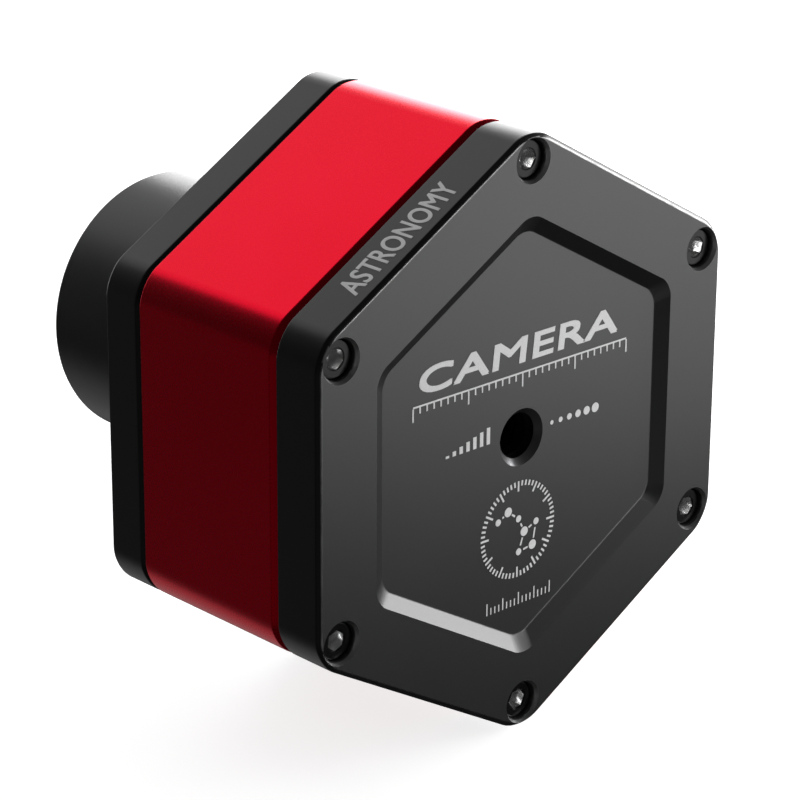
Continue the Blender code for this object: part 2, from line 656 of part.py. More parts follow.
def main():
    for old in list(bpy.data.objects):
        bpy.data.objects.remove(old, do_unlink=True)
    red = make_material("red_anodised", (0.72, 0.010, 0.035), 0.32, 1.0)
    black = make_material("black_anodised", (0.045, 0.046, 0.047), 0.42, 1.0)
    screw_steel = make_material("black_steel", (0.10, 0.10, 0.10), 0.30, 1.0)
    steel = make_material("bright_steel", (0.62, 0.62, 0.62), 0.28, 1.0)
    rubber = make_material("black_rubber", (0.02, 0.02, 0.02), 0.75, 0.0)
    glass = make_material("coated_glass", (0.55, 0.68, 0.66), 0.05, 0.0)
    ceramic = make_material("sensor_ceramic", (0.16, 0.15, 0.14), 0.55, 0.0)
    paint = make_material("matt_black", (0.01, 0.01, 0.01), 0.85, 0.0)
    board = make_material("board_green", (0.01, 0.09, 0.035), 0.45, 0.0)
    brass = make_material("brass", (0.62, 0.42, 0.14), 0.30, 1.0)
    chip = make_material("chip_black", (0.02, 0.02, 0.022), 0.50, 0.0)
    pad = make_material("thermal_pad_grey", (0.30, 0.33, 0.38), 0.80, 0.0)
    plastic = make_material("black_plastic", (0.018, 0.018, 0.018), 0.45, 0.0)
    blue = make_material("blue_plastic", (0.01, 0.09, 0.40), 0.45, 0.0)
    aluminium = make_material("bare_aluminium", (0.70, 0.70, 0.71), 0.38, 1.0)
    build_rear_cover(black)
    build_shell(red)
    build_front_cover(black)
    build_case_screws(screw_steel)
    build_nosepiece(black)
    build_nose_seal(rubber)
    build_window(glass, rubber, black)
    build_sensor(ceramic, glass, paint)
    build_boards(board)
    build_pillars(brass, steel)
    build_electronics(chip, pad, plastic)
    build_cooling_plate(aluminium)
    build_usb_socket(steel, blue)
    build_guide_socket(plastic)


main()
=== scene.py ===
import math
import bpy
from mathutils import Matrix, Vector


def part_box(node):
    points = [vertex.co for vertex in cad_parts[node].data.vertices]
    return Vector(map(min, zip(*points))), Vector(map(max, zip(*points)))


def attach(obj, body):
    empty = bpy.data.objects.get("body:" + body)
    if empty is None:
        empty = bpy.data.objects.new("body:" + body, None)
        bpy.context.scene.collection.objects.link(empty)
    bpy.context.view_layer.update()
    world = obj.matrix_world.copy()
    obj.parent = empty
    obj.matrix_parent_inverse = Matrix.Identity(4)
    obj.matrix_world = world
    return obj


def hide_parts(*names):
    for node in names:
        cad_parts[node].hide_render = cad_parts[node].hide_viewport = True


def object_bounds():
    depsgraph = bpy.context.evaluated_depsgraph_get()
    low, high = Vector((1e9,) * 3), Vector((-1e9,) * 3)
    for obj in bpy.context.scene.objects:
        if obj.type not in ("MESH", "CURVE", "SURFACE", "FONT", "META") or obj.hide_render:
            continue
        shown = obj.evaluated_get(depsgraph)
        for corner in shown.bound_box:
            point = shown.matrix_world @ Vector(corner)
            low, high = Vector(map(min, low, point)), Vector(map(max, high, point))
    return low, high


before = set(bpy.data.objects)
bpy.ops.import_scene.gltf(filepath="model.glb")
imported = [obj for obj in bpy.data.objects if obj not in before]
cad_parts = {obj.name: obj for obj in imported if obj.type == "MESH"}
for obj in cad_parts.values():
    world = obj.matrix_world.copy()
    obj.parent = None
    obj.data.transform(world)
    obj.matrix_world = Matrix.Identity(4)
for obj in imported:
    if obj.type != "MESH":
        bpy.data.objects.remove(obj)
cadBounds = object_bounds()
print("frame loaded:", len(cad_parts), "nodes")

mm = 0.001
tiny = 0.01 * mm

# places taken from the frame
shellLow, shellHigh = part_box("shell")
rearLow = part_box("rear_cover")[0]
frontLow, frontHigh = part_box("front_cover")
noseLow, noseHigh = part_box("nosepiece")
screwLow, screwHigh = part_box("rear_screw_2")  # the top corner's screw
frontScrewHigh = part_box("front_screw_2")[1]
rearFace = rearLow.y
coverFace = frontHigh.y
gap = 0.3 * mm  # the frame leaves this between pieces that touch
rearSeam = shellLow.y - gap / 2
frontSeam = shellHigh.y + gap / 2
screwCircle = (screwLow.z + screwHigh.z) / 2
cornerAngles = [math.radians(30 + 60 * corner) for corner in range(6)]
cornerPlaces = [(screwCircle * math.cos(angle), screwCircle * math.sin(angle)) for angle in cornerAngles]

# how many sides the round shapes have
sides = {"ring": 128, "boss": 96, "tapped": 64, "seat": 48, "post": 32, "pin": 24}


def pickNone():
    if bpy.context.mode != "OBJECT":
        bpy.ops.object.mode_set(mode="OBJECT")
    bpy.ops.object.select_all(action="DESELECT")


def pickOnly(*pieces):
    pickNone()
    for piece in pieces:
        piece.select_set(True)
    bpy.context.view_layer.objects.active = pieces[0]


def discard(piece):
    bpy.data.objects.remove(piece, do_unlink=True)


def applyPlace(piece):
    pickOnly(piece)
    bpy.ops.object.transform_apply(location=True, rotation=True, scale=True)


def unpick(mesh):
    for parts in (mesh.vertices, mesh.edges, mesh.polygons):
        parts.foreach_set("select", [False] * len(parts))


def startEdit(mode):
    bpy.ops.object.mode_set(mode="EDIT")
    bpy.ops.mesh.select_mode(type=mode)


def editAll(piece):
    pickOnly(piece)
    bpy.ops.object.mode_set(mode="EDIT")
    bpy.ops.mesh.select_all(action="SELECT")


def endEdit():
    bpy.ops.object.mode_set(mode="OBJECT")


def selectParts(piece, mode, test):
    # selects what passes the test: vertices and edges by their points, faces by their centre
    pickOnly(piece)
    mesh = piece.data
    unpick(mesh)
    if mode == "VERT":
        for vertex in mesh.vertices:
            vertex.select = test(vertex.co)
    if mode == "EDGE":
        for edge in mesh.edges:
            edge.select = all(test(mesh.vertices[index].co) for index in edge.vertices)
    startEdit(mode)


def selectAlong(piece, axis):
    # selects the edges that run along one axis
    pickOnly(piece)
    mesh = piece.data
    unpick(mesh)
    for edge in mesh.edges:
        start, end = [mesh.vertices[index].co for index in edge.vertices]
        edge.select = all(abs(start[other] - end[other]) < tiny for other in range(3) if other != axis)
    startEdit("EDGE")


def widen(factor, y=0):
    bpy.ops.transform.resize(value=(factor, 1, factor), center_override=(0, y, 0))


def cleanUp(piece):
    editAll(piece)
    bpy.ops.mesh.remove_doubles(threshold=tiny / 10)
    bpy.ops.mesh.normals_make_consistent(inside=False)
    endEdit()


def addCircle(name, sideCount, radius, y, fill):
    # flat circle round the Y axis
    pickNone()
    bpy.ops.mesh.primitive_circle_add(
        vertices=sideCount, radius=radius, fill_type=fill, location=(0, y, 0), rotation=(math.pi / 2, 0, 0)
    )
    circle = bpy.context.object
    circle.name = name
    applyPlace(circle)
    return circle


def hexBlock(name, acrossFlats, corner, rear, front, steps=12):
    # hexagonal block along Y with a corner on top
    prism = addCircle(name, 6, acrossFlats / math.sqrt(3), rear, "NGON")
    editAll(prism)
    if corner > 0:
        bpy.ops.mesh.bevel(offset=corner * math.tan(math.pi / 6), affect="VERTICES", segments=steps)
        bpy.ops.mesh.select_all(action="SELECT")
    bpy.ops.mesh.extrude_region_move(TRANSFORM_OT_translate={"value": (0, front - rear, 0)})
    cleanUp(prism)
    return prism


def bevelRim(piece, y, width, segments=1):
    selectParts(piece, "EDGE", lambda co: abs(co.y - y) < tiny)
    bpy.ops.mesh.bevel(offset=width, affect="EDGES", segments=segments, profile=0.5)
    endEdit()


def chamferRim(piece, y, width, inwards, soft):
    # 45 degree chamfer whose own two edges are slightly rounded
    bevelRim(piece, y, width)
    bevelRim(piece, y, soft, 3)
    bevelRim(piece, y + inwards * width, soft, 3)


def walkProfile(name, profile, sideCount, closed=False):
    # turns (radius, y) points round the axis: a circle is extruded and resized from point to point
    radius, y = profile[0]
    piece = addCircle(name, sideCount, radius, y, "NOTHING" if closed else "NGON")
    bpy.ops.object.mode_set(mode="EDIT")
    bpy.ops.mesh.select_mode(type="EDGE" if closed else "FACE")
    bpy.ops.mesh.select_all(action="SELECT")
    rest = profile[1:] + (profile[:1] if closed else [])
    for nextRadius, nextY in rest:
        move = {"value": (0, nextY - y, 0)}
        if closed:
            bpy.ops.mesh.extrude_edges_move(TRANSFORM_OT_translate=move)
        else:
            bpy.ops.mesh.extrude_region_move(TRANSFORM_OT_translate=move)
        widen(nextRadius / radius, nextY)
        radius, y = nextRadius, nextY
    cleanUp(piece)
    return piece


def block(name, low, high, edge=0.0, segments=2):
    # box between two corners, with softened edges
    pickNone()
    middle = [(a + b) / 2 for a, b in zip(low, high)]
    bpy.ops.mesh.primitive_cube_add(size=1, location=middle, scale=[b - a for a, b in zip(low, high)])
    piece = bpy.context.object
    piece.name = name
    applyPlace(piece)
    if edge > 0:
        editAll(piece)
        bpy.ops.mesh.bevel(offset=edge, affect="EDGES", segments=segments)
        endEdit()
    return piece


def carve(piece, tool, operation="DIFFERENCE"):
    boolean = piece.modifiers.new("carve", "BOOLEAN")
    boolean.operation = operation
    boolean.solver = "EXACT"
    boolean.object = tool
    pickOnly(piece)
    bpy.ops.object.modifier_apply(modifier=boolean.name)
    discard(tool)


def copyTo(piece, name, matrix):
    # copy with a mesh of its own, placed in its mesh
    copy = piece.copy()
    copy.data = piece.data.copy()
    copy.data.transform(matrix)
    copy.name = name
    bpy.context.collection.objects.link(copy)
    return copy


def joinAll(name, pieces):
    pickOnly(*pieces)
    bpy.ops.object.join()
    whole = bpy.context.object
    whole.name = name
    return whole


def aroundCorners(tool):
    # one tool at each of the six screw places
    copies = [copyTo(tool, "tool", Matrix.Translation((x, 0, z))) for x, z in cornerPlaces]
    discard(tool)
    return joinAll("tool", copies)


def addGrooves(profile, radius, depth, start, end, pitch, close=1.0):
    # a thread without lead: from start to end, one groove or ridge for each pitch
    step = math.copysign(pitch, end - start)
    y = start
    while abs(end - y) > pitch:
        profile.append((radius + depth, y + step * 0.5))
        profile.append((radius, y + step * close))
        y += step


def finishShape(piece, angle):
    pickOnly(piece)
    bpy.ops.object.shade_smooth_by_angle(angle=math.radians(angle))
    weighted = piece.modifiers.new("weighted", "WEIGHTED_NORMAL")
    weighted.keep_sharp = True
    weighted.weight = 100
    bpy.ops.object.modifier_apply(modifier=weighted.name)


def addPaint(piece, look):
    piece.data.materials.append(finish[look])
    return len(piece.data.materials) - 1


# which faces of a rim get the painted highlight: their height above the face and their slope
rimHighlightBand = {"height": 0.6, "flattest": 0.995, "steepest": 0.75}


def paintRimHighlights(piece, y):
    # painted highlight: the fine rounding where a face meets its rim chamfer gets a brighter metal finish
    # that stands in for the line of light along the rim
    paint = addPaint(piece, "rimHighlightFinish")
    reach = housing["acrossFlats"] / 2 - housing["rim"] - housing["softEdge"] - tiny
    flats = [(math.cos(angle), math.sin(angle)) for angle in (0, math.pi / 3, -math.pi / 3)]
    for face in piece.data.polygons:
        centre = face.center
        outwards = max(abs(centre.x * x + centre.z * z) for x, z in flats)
        onRim = outwards > reach and abs(centre.y - y) < housing["softEdge"] * rimHighlightBand["height"]
        if onRim and rimHighlightBand["steepest"] < abs(face.normal.y) < rimHighlightBand["flattest"]:
            face.material_index = paint


def paintBores(piece, places, radius, low, high, look):
    # gives the walls of round holes, between two heights, a finish of their own
    paint = addPaint(piece, look)
    for face in piece.data.polygons:
        centre = face.center
        inHole = any(math.hypot(centre.x - x, centre.z - z) < radius for x, z in places)
        isWall = abs(face.normal.y) < 0.9
        if inHole and isWall and low < centre.y < high:
            face.material_index = paint


def dress(piece, look, body, slot, *nodes, angle=25):
    # shades edges below the angle smooth (0 leaves them), then sets the finish and what the frame needs
    if angle > 0:
        finishShape(piece, angle)
    piece.data.materials.clear()
    piece.data.materials.append(finish[look])
    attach(piece, body)
    if nodes:
        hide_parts(*nodes)
    return piece


def setInputs(node, values):
    for label, value in values.items():
        node.inputs[label].default_value = value


def addNode(tree, kind, **values):
    node = tree.nodes.new("ShaderNode" + kind)
    setInputs(node, values)
    return node


def wire(start, output, end, entry):
    start.id_data.links.new(start.outputs[output], end.inputs[entry])


def newGroup(name, inputs, outputs):
    # one vector goes in, and the named inputs with their usual values
    group = bpy.data.node_groups.new(name, "ShaderNodeTree")
    group.interface.new_socket("Vector", in_out="INPUT", socket_type="NodeSocketVector")
    for label, value in inputs.items():
        socket = group.interface.new_socket(label, in_out="INPUT", socket_type="NodeSocketFloat")
        socket.default_value = value
    for label in outputs:
        group.interface.new_socket(label, in_out="OUTPUT", socket_type="NodeSocketFloat")
    return group, group.nodes.new("NodeGroupInput"), group.nodes.new("NodeGroupOutput")


# what a finish has unless its own look says otherwise
usualLook = {
    "metallic": 0.0,
    "ior": 1.5,
    "pits": 7000.0,
    "patches": 90.0,
    "vary": 0.04,
    "bump": 0.15,
    "depth": 0.02 * mm,
    "turned": 0.0,
    "ringBump": 0.12,
    "ringDepth": 0.01 * mm,
}


def buildGrainGroup():
    # blasted metal or moulded skin: fine pits for the bump, and broad soft patches
    inputs = {"Pit size": usualLook["pits"], "Patch size": usualLook["patches"]}
    group, start, end = newGroup("grain", inputs, ["Pits", "Patches"])
    pits = addNode(group, "TexNoise", Detail=3.0, Roughness=0.6)
    patches = addNode(group, "TexNoise", Detail=2.0)
    for noise, size, output in ((pits, "Pit size", "Pits"), (patches, "Patch size", "Patches")):
        wire(start, "Vector", noise, "Vector")
        wire(start, size, noise, "Scale")
        wire(noise, "Fac", end, output)
    return group


def buildTurningGroup():
    # fine rings left by a lathe, round the Y axis
    group, start, end = newGroup("turning", {"Rings": 9000.0}, ["Rings"])
    wave = addNode(group, "TexWave", Distortion=0.4, Detail=2.0)
    wave.wave_type = "BANDS"
    wave.bands_direction = "Y"
    wire(start, "Vector", wave, "Vector")
    wire(start, "Rings", wave, "Scale")
    wire(wave, "Fac", end, "Rings")
    return group


grainGroup = buildGrainGroup()
turningGroup = buildTurningGroup()


def startMaterial(name, roughness, metallic, ior=1.5):
    material = bpy.data.materials.new(name)
    material.use_nodes = True
    shader = material.node_tree.nodes["Principled BSDF"]
    setInputs(shader, {"Roughness": roughness, "Metallic": metallic, "IOR": ior})
    return material, material.node_tree, shader


def addMix(tree, first, second):
    mix = addNode(tree, "Mix")
    mix.data_type = "RGBA"
    setInputs(mix, {"A": (*first, 1), "B": (*second, 1)})
    return mix


def grainyMaterial(name, look):
    # colour with soft patches, grain in the bump, and a roughness that varies a little with the grain
    rough = look["roughness"]
    material, tree, shader = startMaterial(name, rough, look["metallic"], look["ior"])
    place = addNode(tree, "TexCoord")
    grain = addNode(tree, "Group")
    grain.node_tree = grainGroup
    setInputs(grain, {"Pit size": look["pits"], "Patch size": look["patches"]})
    wire(place, "Object", grain, "Vector")
    colour = addMix(tree, look["dark"], look["light"])
    wire(grain, "Patches", colour, "Factor")
    wire(colour, "Result", shader, "Base Color")
    spread = addNode(tree, "MapRange")
    setInputs(spread, {"To Min": rough - look["vary"], "To Max": rough + look["vary"]})
    wire(grain, "Pits", spread, "Value")
    wire(spread, "Result", shader, "Roughness")
    bump = addNode(tree, "Bump", Strength=look["bump"], Distance=look["depth"])
    wire(grain, "Pits", bump, "Height")
    wire(bump, "Normal", shader, "Normal")
    if look["turned"] > 0:
        rings = addNode(tree, "Group")
        rings.node_tree = turningGroup
        setInputs(rings, {"Rings": look["turned"]})
        wire(place, "Object", rings, "Vector")
        ringBump = addNode(tree, "Bump", Strength=look["ringBump"], Distance=look["ringDepth"])
        wire(rings, "Rings", ringBump, "Height")
        wire(bump, "Normal", ringBump, "Normal")
        wire(ringBump, "Normal", shader, "Normal")
    return material


def makeLook(dark, light, roughness, **others):
    # two colours, where a single number stands for a grey
    colours = [shade if isinstance(shade, tuple) else (shade, shade, shade) for shade in (dark, light)]
    return {**usualLook, "dark": colours[0], "light": colours[1], "roughness": roughness, **others}


looks = {
    "redAnodised": makeLook((0.85, 0.0, 0.020), (0.92, 0.001, 0.027), 0.28, metallic=1.0),
    "blackAnodised": makeLook((0.008, 0.008, 0.0085), (0.012, 0.012, 0.0125), 0.32),
    "blackTurned": makeLook((0.014, 0.0145, 0.015), (0.022, 0.022, 0.023), 0.34, turned=5200.0),
    # painted highlight: a brighter metal for the fine rounding along the covers' rims
    "rimHighlightFinish": makeLook(0.03, 0.20, 0.26, metallic=1.0, patches=700.0),
    "markedMetal": makeLook(0.60, 0.80, 0.50, metallic=0.55),
    "socketSteel": makeLook(0.80, 0.98, 0.20, metallic=1.0, patches=1500.0),
    "screwSeat": makeLook(0.30, 0.62, 0.36, metallic=1.0, turned=6000.0),
    "machinedBore": makeLook((0.14, 0.14, 0.145), (0.24, 0.24, 0.245), 0.30, metallic=1.0),
    "blackSteel": makeLook(0.002, 0.008, 0.20, ior=1.25, patches=900.0),
    "brightSteel": makeLook(0.62, (0.78, 0.78, 0.77), 0.22, metallic=1.0, patches=900.0),
    "rubber": makeLook(0.010, 0.020, 0.70, bump=0.4),
    "mattPaint": makeLook(0.006, 0.012, 0.9, bump=0.4),
    "ceramic": makeLook((0.10, 0.095, 0.088), (0.16, 0.15, 0.14), 0.55),
    "brass": makeLook((0.52, 0.33, 0.10), (0.66, 0.46, 0.17), 0.28, metallic=1.0, turned=6000.0),
    "chipEpoxy": makeLook((0.014, 0.014, 0.015), (0.024, 0.024, 0.026), 0.5, bump=0.3),
    "thermalPad": makeLook((0.22, 0.25, 0.30), (0.32, 0.35, 0.40), 0.8, bump=0.5),
    "blackPlastic": makeLook(0.012, 0.022, 0.42, bump=0.2),
    "bluePlastic": makeLook((0.006, 0.06, 0.30), (0.01, 0.09, 0.40), 0.40, bump=0.2),
    "milledAluminium": makeLook((0.60, 0.60, 0.61), (0.74, 0.74, 0.75), 0.34, metallic=1.0, turned=3000.0),
    "gold": makeLook((0.75, 0.52, 0.18), (0.88, 0.64, 0.26), 0.2, metallic=1.0),
    "whitePrint": makeLook(0.72, 0.90, 0.60, patches=5000.0),
}
finish = {name: grainyMaterial(name, look) for name, look in looks.items()}


def glassMaterial():
    # clear window with a faint green coating
    material, tree, shader = startMaterial("coatedGlass", 0.02, 0.0)
    setInputs(shader, {"Transmission Weight": 1.0, "Coat Weight": 0.25})
    dust = addNode(tree, "TexNoise", Scale=300.0)
    tint = addMix(tree, (0.90, 0.97, 0.94), (0.94, 0.98, 0.97))
    wire(addNode(tree, "TexCoord"), "Object", dust, "Vector")
    wire(dust, "Fac", tint, "Factor")
    wire(tint, "Result", shader, "Base Color")
    return material


def cellMaterial(name, roughness, metallic, offset, values):
    # rows of cells on the faces that look along Y; every second row is moved by the offset
    material, tree, shader = startMaterial(name, roughness, metallic)
    turn = addNode(tree, "Mapping", Rotation=(math.pi / 2, 0, 0))
    cells = addNode(tree, "TexBrick")
    cells.offset = offset
    setInputs(cells, values)
    wire(addNode(tree, "TexCoord"), "Object", turn, "Vector")
    wire(turn, "Vector", cells, "Vector")
    wire(cells, "Color", shader, "Base Color")
    return material, cells, shader


def boardMaterial():
    # green solder mask with the tracks as paler, slightly raised lines
    colours = {
        "Scale": 260.0,
        "Mortar Size": 0.03,
        "Color1": (0.004, 0.055, 0.020, 1),
        "Color2": (0.005, 0.068, 0.026, 1),
        "Mortar": (0.012, 0.16, 0.055, 1),
    }
    material, tracks, shader = cellMaterial("solderMask", 0.38, 0.0, 0.5, colours)
    bump = addNode(material.node_tree, "Bump", Strength=0.3, Distance=0.03 * mm)
    wire(tracks, "Fac", bump, "Height")
    wire(bump, "Normal", shader, "Normal")
    return material


def dieMaterial():
    # silicon with a fine grid of photosites that shimmers from green to violet
    colours = {
        "Scale": 4000.0,
        "Color1": (0.05, 0.16, 0.12, 1),
        "Color2": (0.12, 0.06, 0.18, 1),
        "Mortar": (0.02, 0.02, 0.03, 1),
    }
    return cellMaterial("sensorDie", 0.18, 0.9, 0.0, colours)[0]


finish["glass"] = glassMaterial()
finish["board"] = boardMaterial()
finish["die"] = dieMaterial()
print("materials ready:", len(finish))

screwSizes = {
    "headRadius": 2.15 * mm,
    "headHeight": 2.5 * mm,
    "shaftRadius": 1.25 * mm,
    "length": 8.0 * mm,
    "keyAcross": 2.0 * mm,
    "keyDepth": 1.3 * mm,
    "headEdge": 0.25 * mm,
    "keyMouth": 0.08 * mm,
    "keyPoint": (0.5, 0.4 * mm),
    "threadStart": 2.0 * mm,
    "pitch": 0.45 * mm,
    "threadDepth": 0.14 * mm,
    "knurls": 36,
    "knurlSize": 0.965,
    "keyTurn": math.radians(17),
}

housing = {
    "acrossFlats": shellHigh.x - shellLow.x,
    "corner": 5.0 * mm,
    "rim": 0.42 * mm,
    "shellRearChamfer": 1.0 * mm,
    "frontRearChamfer": 0.7 * mm,
    "softEdge": 0.15 * mm,
    "wall": 3.8 * mm,
    "cavityCorner": 15.0 * mm,
    "holeRadius": 1.55 * mm,
    "counterboreRadius": 2.26 * mm,
    "counterboreMouth": 2.50 * mm,
    "counterboreLean": 0.42 * mm,
    "counterboreEdge": 0.1 * mm,
    "windowCorner": 0.5 * mm,
    "holeDepth": 4.0 * mm,
}


def counterboreTool(face, floor, inwards):
    # head pocket with a small chamfer at its mouth, then the screw's hole
    mouth = housing["counterboreMouth"]
    wide = housing["counterboreRadius"]
    narrow = housing["holeRadius"]
    lean = inwards * housing["counterboreLean"]
    edge = housing["counterboreEdge"]
    profile = [
        (mouth + (mouth - wide), face - lean),
        (wide, face + lean),
        (wide, floor - inwards * edge),
        (wide - edge, floor),
        (narrow, floor),
        (narrow, floor + inwards * housing["holeDepth"]),
    ]
    return aroundCorners(walkProfile("tool", profile, sides["seat"]))


rearPanel = {
    "across": 43.9 * mm,
    "floorAcross": 40.7 * mm,
    "depth": 1.0 * mm,
    "corner": 2.6 * mm,
    "floorEdge": 0.10 * mm,
    "pocketDepth": 1.5 * mm,
    "pocketCorner": 12.75 * mm,
    "holeRadius": 2.55 * mm,
    "holeMouth": 3.25 * mm,
    "holeDepth": 5.4 * mm,
    "threadPitch": 1.27 * mm,
    "threadDepth": 0.45 * mm,
    "bossRadius": 4.95 * mm,
}


def makeRearCover():
    body = hexBlock("rearCover", housing["acrossFlats"], housing["corner"], rearFace, rearSeam)
    chamferRim(body, rearFace, housing["rim"], 1, housing["softEdge"])
    bevelRim(body, rearSeam, housing["softEdge"], 2)
    pocketFloor = rearSeam - rearPanel["pocketDepth"]
    inner = housing["acrossFlats"] - 2 * housing["wall"]
    carve(body, hexBlock("tool", inner, rearPanel["pocketCorner"], pocketFloor, rearSeam + mm))
    # sunken hexagonal panel with sloping walls
    depth = rearPanel["depth"]
    panelFloor = rearFace + depth
    tool = hexBlock("tool", rearPanel["floorAcross"], rearPanel["corner"], rearFace - depth, panelFloor)
    selectParts(tool, "VERT", lambda co: co.y < rearFace)
    widen(2 * rearPanel["across"] / rearPanel["floorAcross"] - 1, rearFace)
    endEdit()
    bevelRim(tool, panelFloor, rearPanel["floorEdge"], 2)
    carve(body, tool)
    holeEnd = panelFloor + rearPanel["holeDepth"]
    boss = [(rearPanel["bossRadius"], pocketFloor - gap), (rearPanel["bossRadius"], holeEnd + mm)]
    carve(body, walkProfile("tool", boss, sides["seat"]), "UNION")
    # tapped hole
    narrow = rearPanel["holeRadius"]
    mouth = rearPanel["holeMouth"]
    chamfer = mouth - narrow
    threadStart = panelFloor + chamfer
    profile = [(mouth + chamfer, panelFloor - chamfer), (narrow, threadStart)]
    pitch = rearPanel["threadPitch"]
    addGrooves(profile, narrow, rearPanel["threadDepth"], threadStart, holeEnd, pitch, 0.95)
    profile.append((narrow, holeEnd))
    carve(body, walkProfile("tool", profile, sides["tapped"]))
    headSeat = screwLow.y + screwSizes["headHeight"] + gap / 2
    carve(body, counterboreTool(rearFace, headSeat, 1))
    dress(body, "blackAnodised", "camera_body", "black_anodised", "rear_cover")
    # painted highlight along the rim of the rear face
    paintRimHighlights(body, rearFace)
    paintBores(body, cornerPlaces, housing["counterboreMouth"] + tiny, rearFace, headSeat, "screwSeat")
    paintBores(body, [(0, 0)], mouth + tiny, panelFloor, threadStart + tiny, "machinedBore")
    threadReach = narrow + rearPanel["threadDepth"] + tiny
    paintBores(body, [(0, 0)], threadReach, threadStart + tiny, holeEnd + mm, "mattPaint")
    return body


rearCover = makeRearCover()
print("rear cover:", len(rearCover.data.polygons), "faces")

usb = {
    "wall": 0.5 * mm,
    "bodyHeight": 10.0 * mm,
    "stepWidth": 8.8 * mm,
    "canEdge": 0.35 * mm,
    "hollowEdge": 0.2 * mm,
    "fingers": (3.0 * mm, 7.0 * mm),
    "fingerHalf": 0.7 * mm,
    "fingerReach": (6.0 * mm, 1.2 * mm),
    "insertDepth": 4.0 * mm,
    "insertDrop": 0.8 * mm,
    "insertHalf": 3.6 * mm,
    "tongue": (5.6 * mm, 3.2 * mm),
    "tongueEdge": 0.25 * mm,
    "contactAt": 1.25 * mm,
    "contactPitch": 1.2 * mm,
}


def roundedWindow(low, high):
    # cutter through the flat that faces +X, a gap wider than what sits in it
    inside = (housing["acrossFlats"] / 2 - 2 * housing["wall"], low.y - gap, low.z - gap)
    outside = (housing["acrossFlats"] / 2 + mm, high.y + gap, high.z + gap)
    tool = block("tool", inside, outside)
    selectAlong(tool, 0)
    bpy.ops.mesh.bevel(offset=housing["windowCorner"], affect="EDGES", segments=4)
    cleanUp(tool)
    return tool


def usbWindow():
    # follows the stepped outline of the socket
    low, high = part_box("usb_shell")
    centre = (low.z + high.z) / 2
    top = low.y + usb["bodyHeight"]
    tool = roundedWindow(low, Vector((high.x, top, high.z)))
    stepLow = Vector((low.x, top - 3 * mm, centre - usb["stepWidth"] / 2))
    stepHigh = Vector((high.x, high.y, centre + usb["stepWidth"] / 2))
    carve(tool, roundedWindow(stepLow, stepHigh), "UNION")
    return tool


def makeShell():
    body = hexBlock("shellTube", housing["acrossFlats"], housing["corner"], rearSeam, frontSeam)
    chamferRim(body, rearSeam, housing["shellRearChamfer"], 1, housing["softEdge"])
    bevelRim(body, frontSeam, housing["softEdge"], 2)
    inner = housing["acrossFlats"] - 2 * housing["wall"]
    carve(body, hexBlock("tool", inner, housing["cavityCorner"], rearSeam - mm, frontSeam + mm, 24))
    channel = [(housing["holeRadius"], rearSeam - mm), (housing["holeRadius"], frontSeam + mm)]
    carve(body, aroundCorners(walkProfile("tool", channel, sides["post"])))
    # windows for the two sockets
    for tool in (usbWindow(), roundedWindow(*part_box("guide_socket"))):
        carve(body, tool)
    return dress(body, "redAnodised", "camera_body", "red_anodised", "shell")


shell = makeShell()
print("shell:", len(shell.data.polygons), "faces")

frontOpening = {
    "threadRadius": 20.8 * mm,
    "threadPitch": 0.75 * mm,
    "threadDepth": 0.35 * mm,
    "boreDepth": 5.0 * mm,
    "ringPocket": 14.9 * mm,
    "windowPocket": 13.1 * mm,
    "lightHole": 10.5 * mm,
    "lightHoleLean": 0.4 * mm,
    "mouth": 0.2 * mm,
    "bossRadius": 17.5 * mm,
    "postRadius": 2.3 * mm,
    "postHoleRadius": 1.3 * mm,
    "postHoleDepth": 2.9 * mm,
}


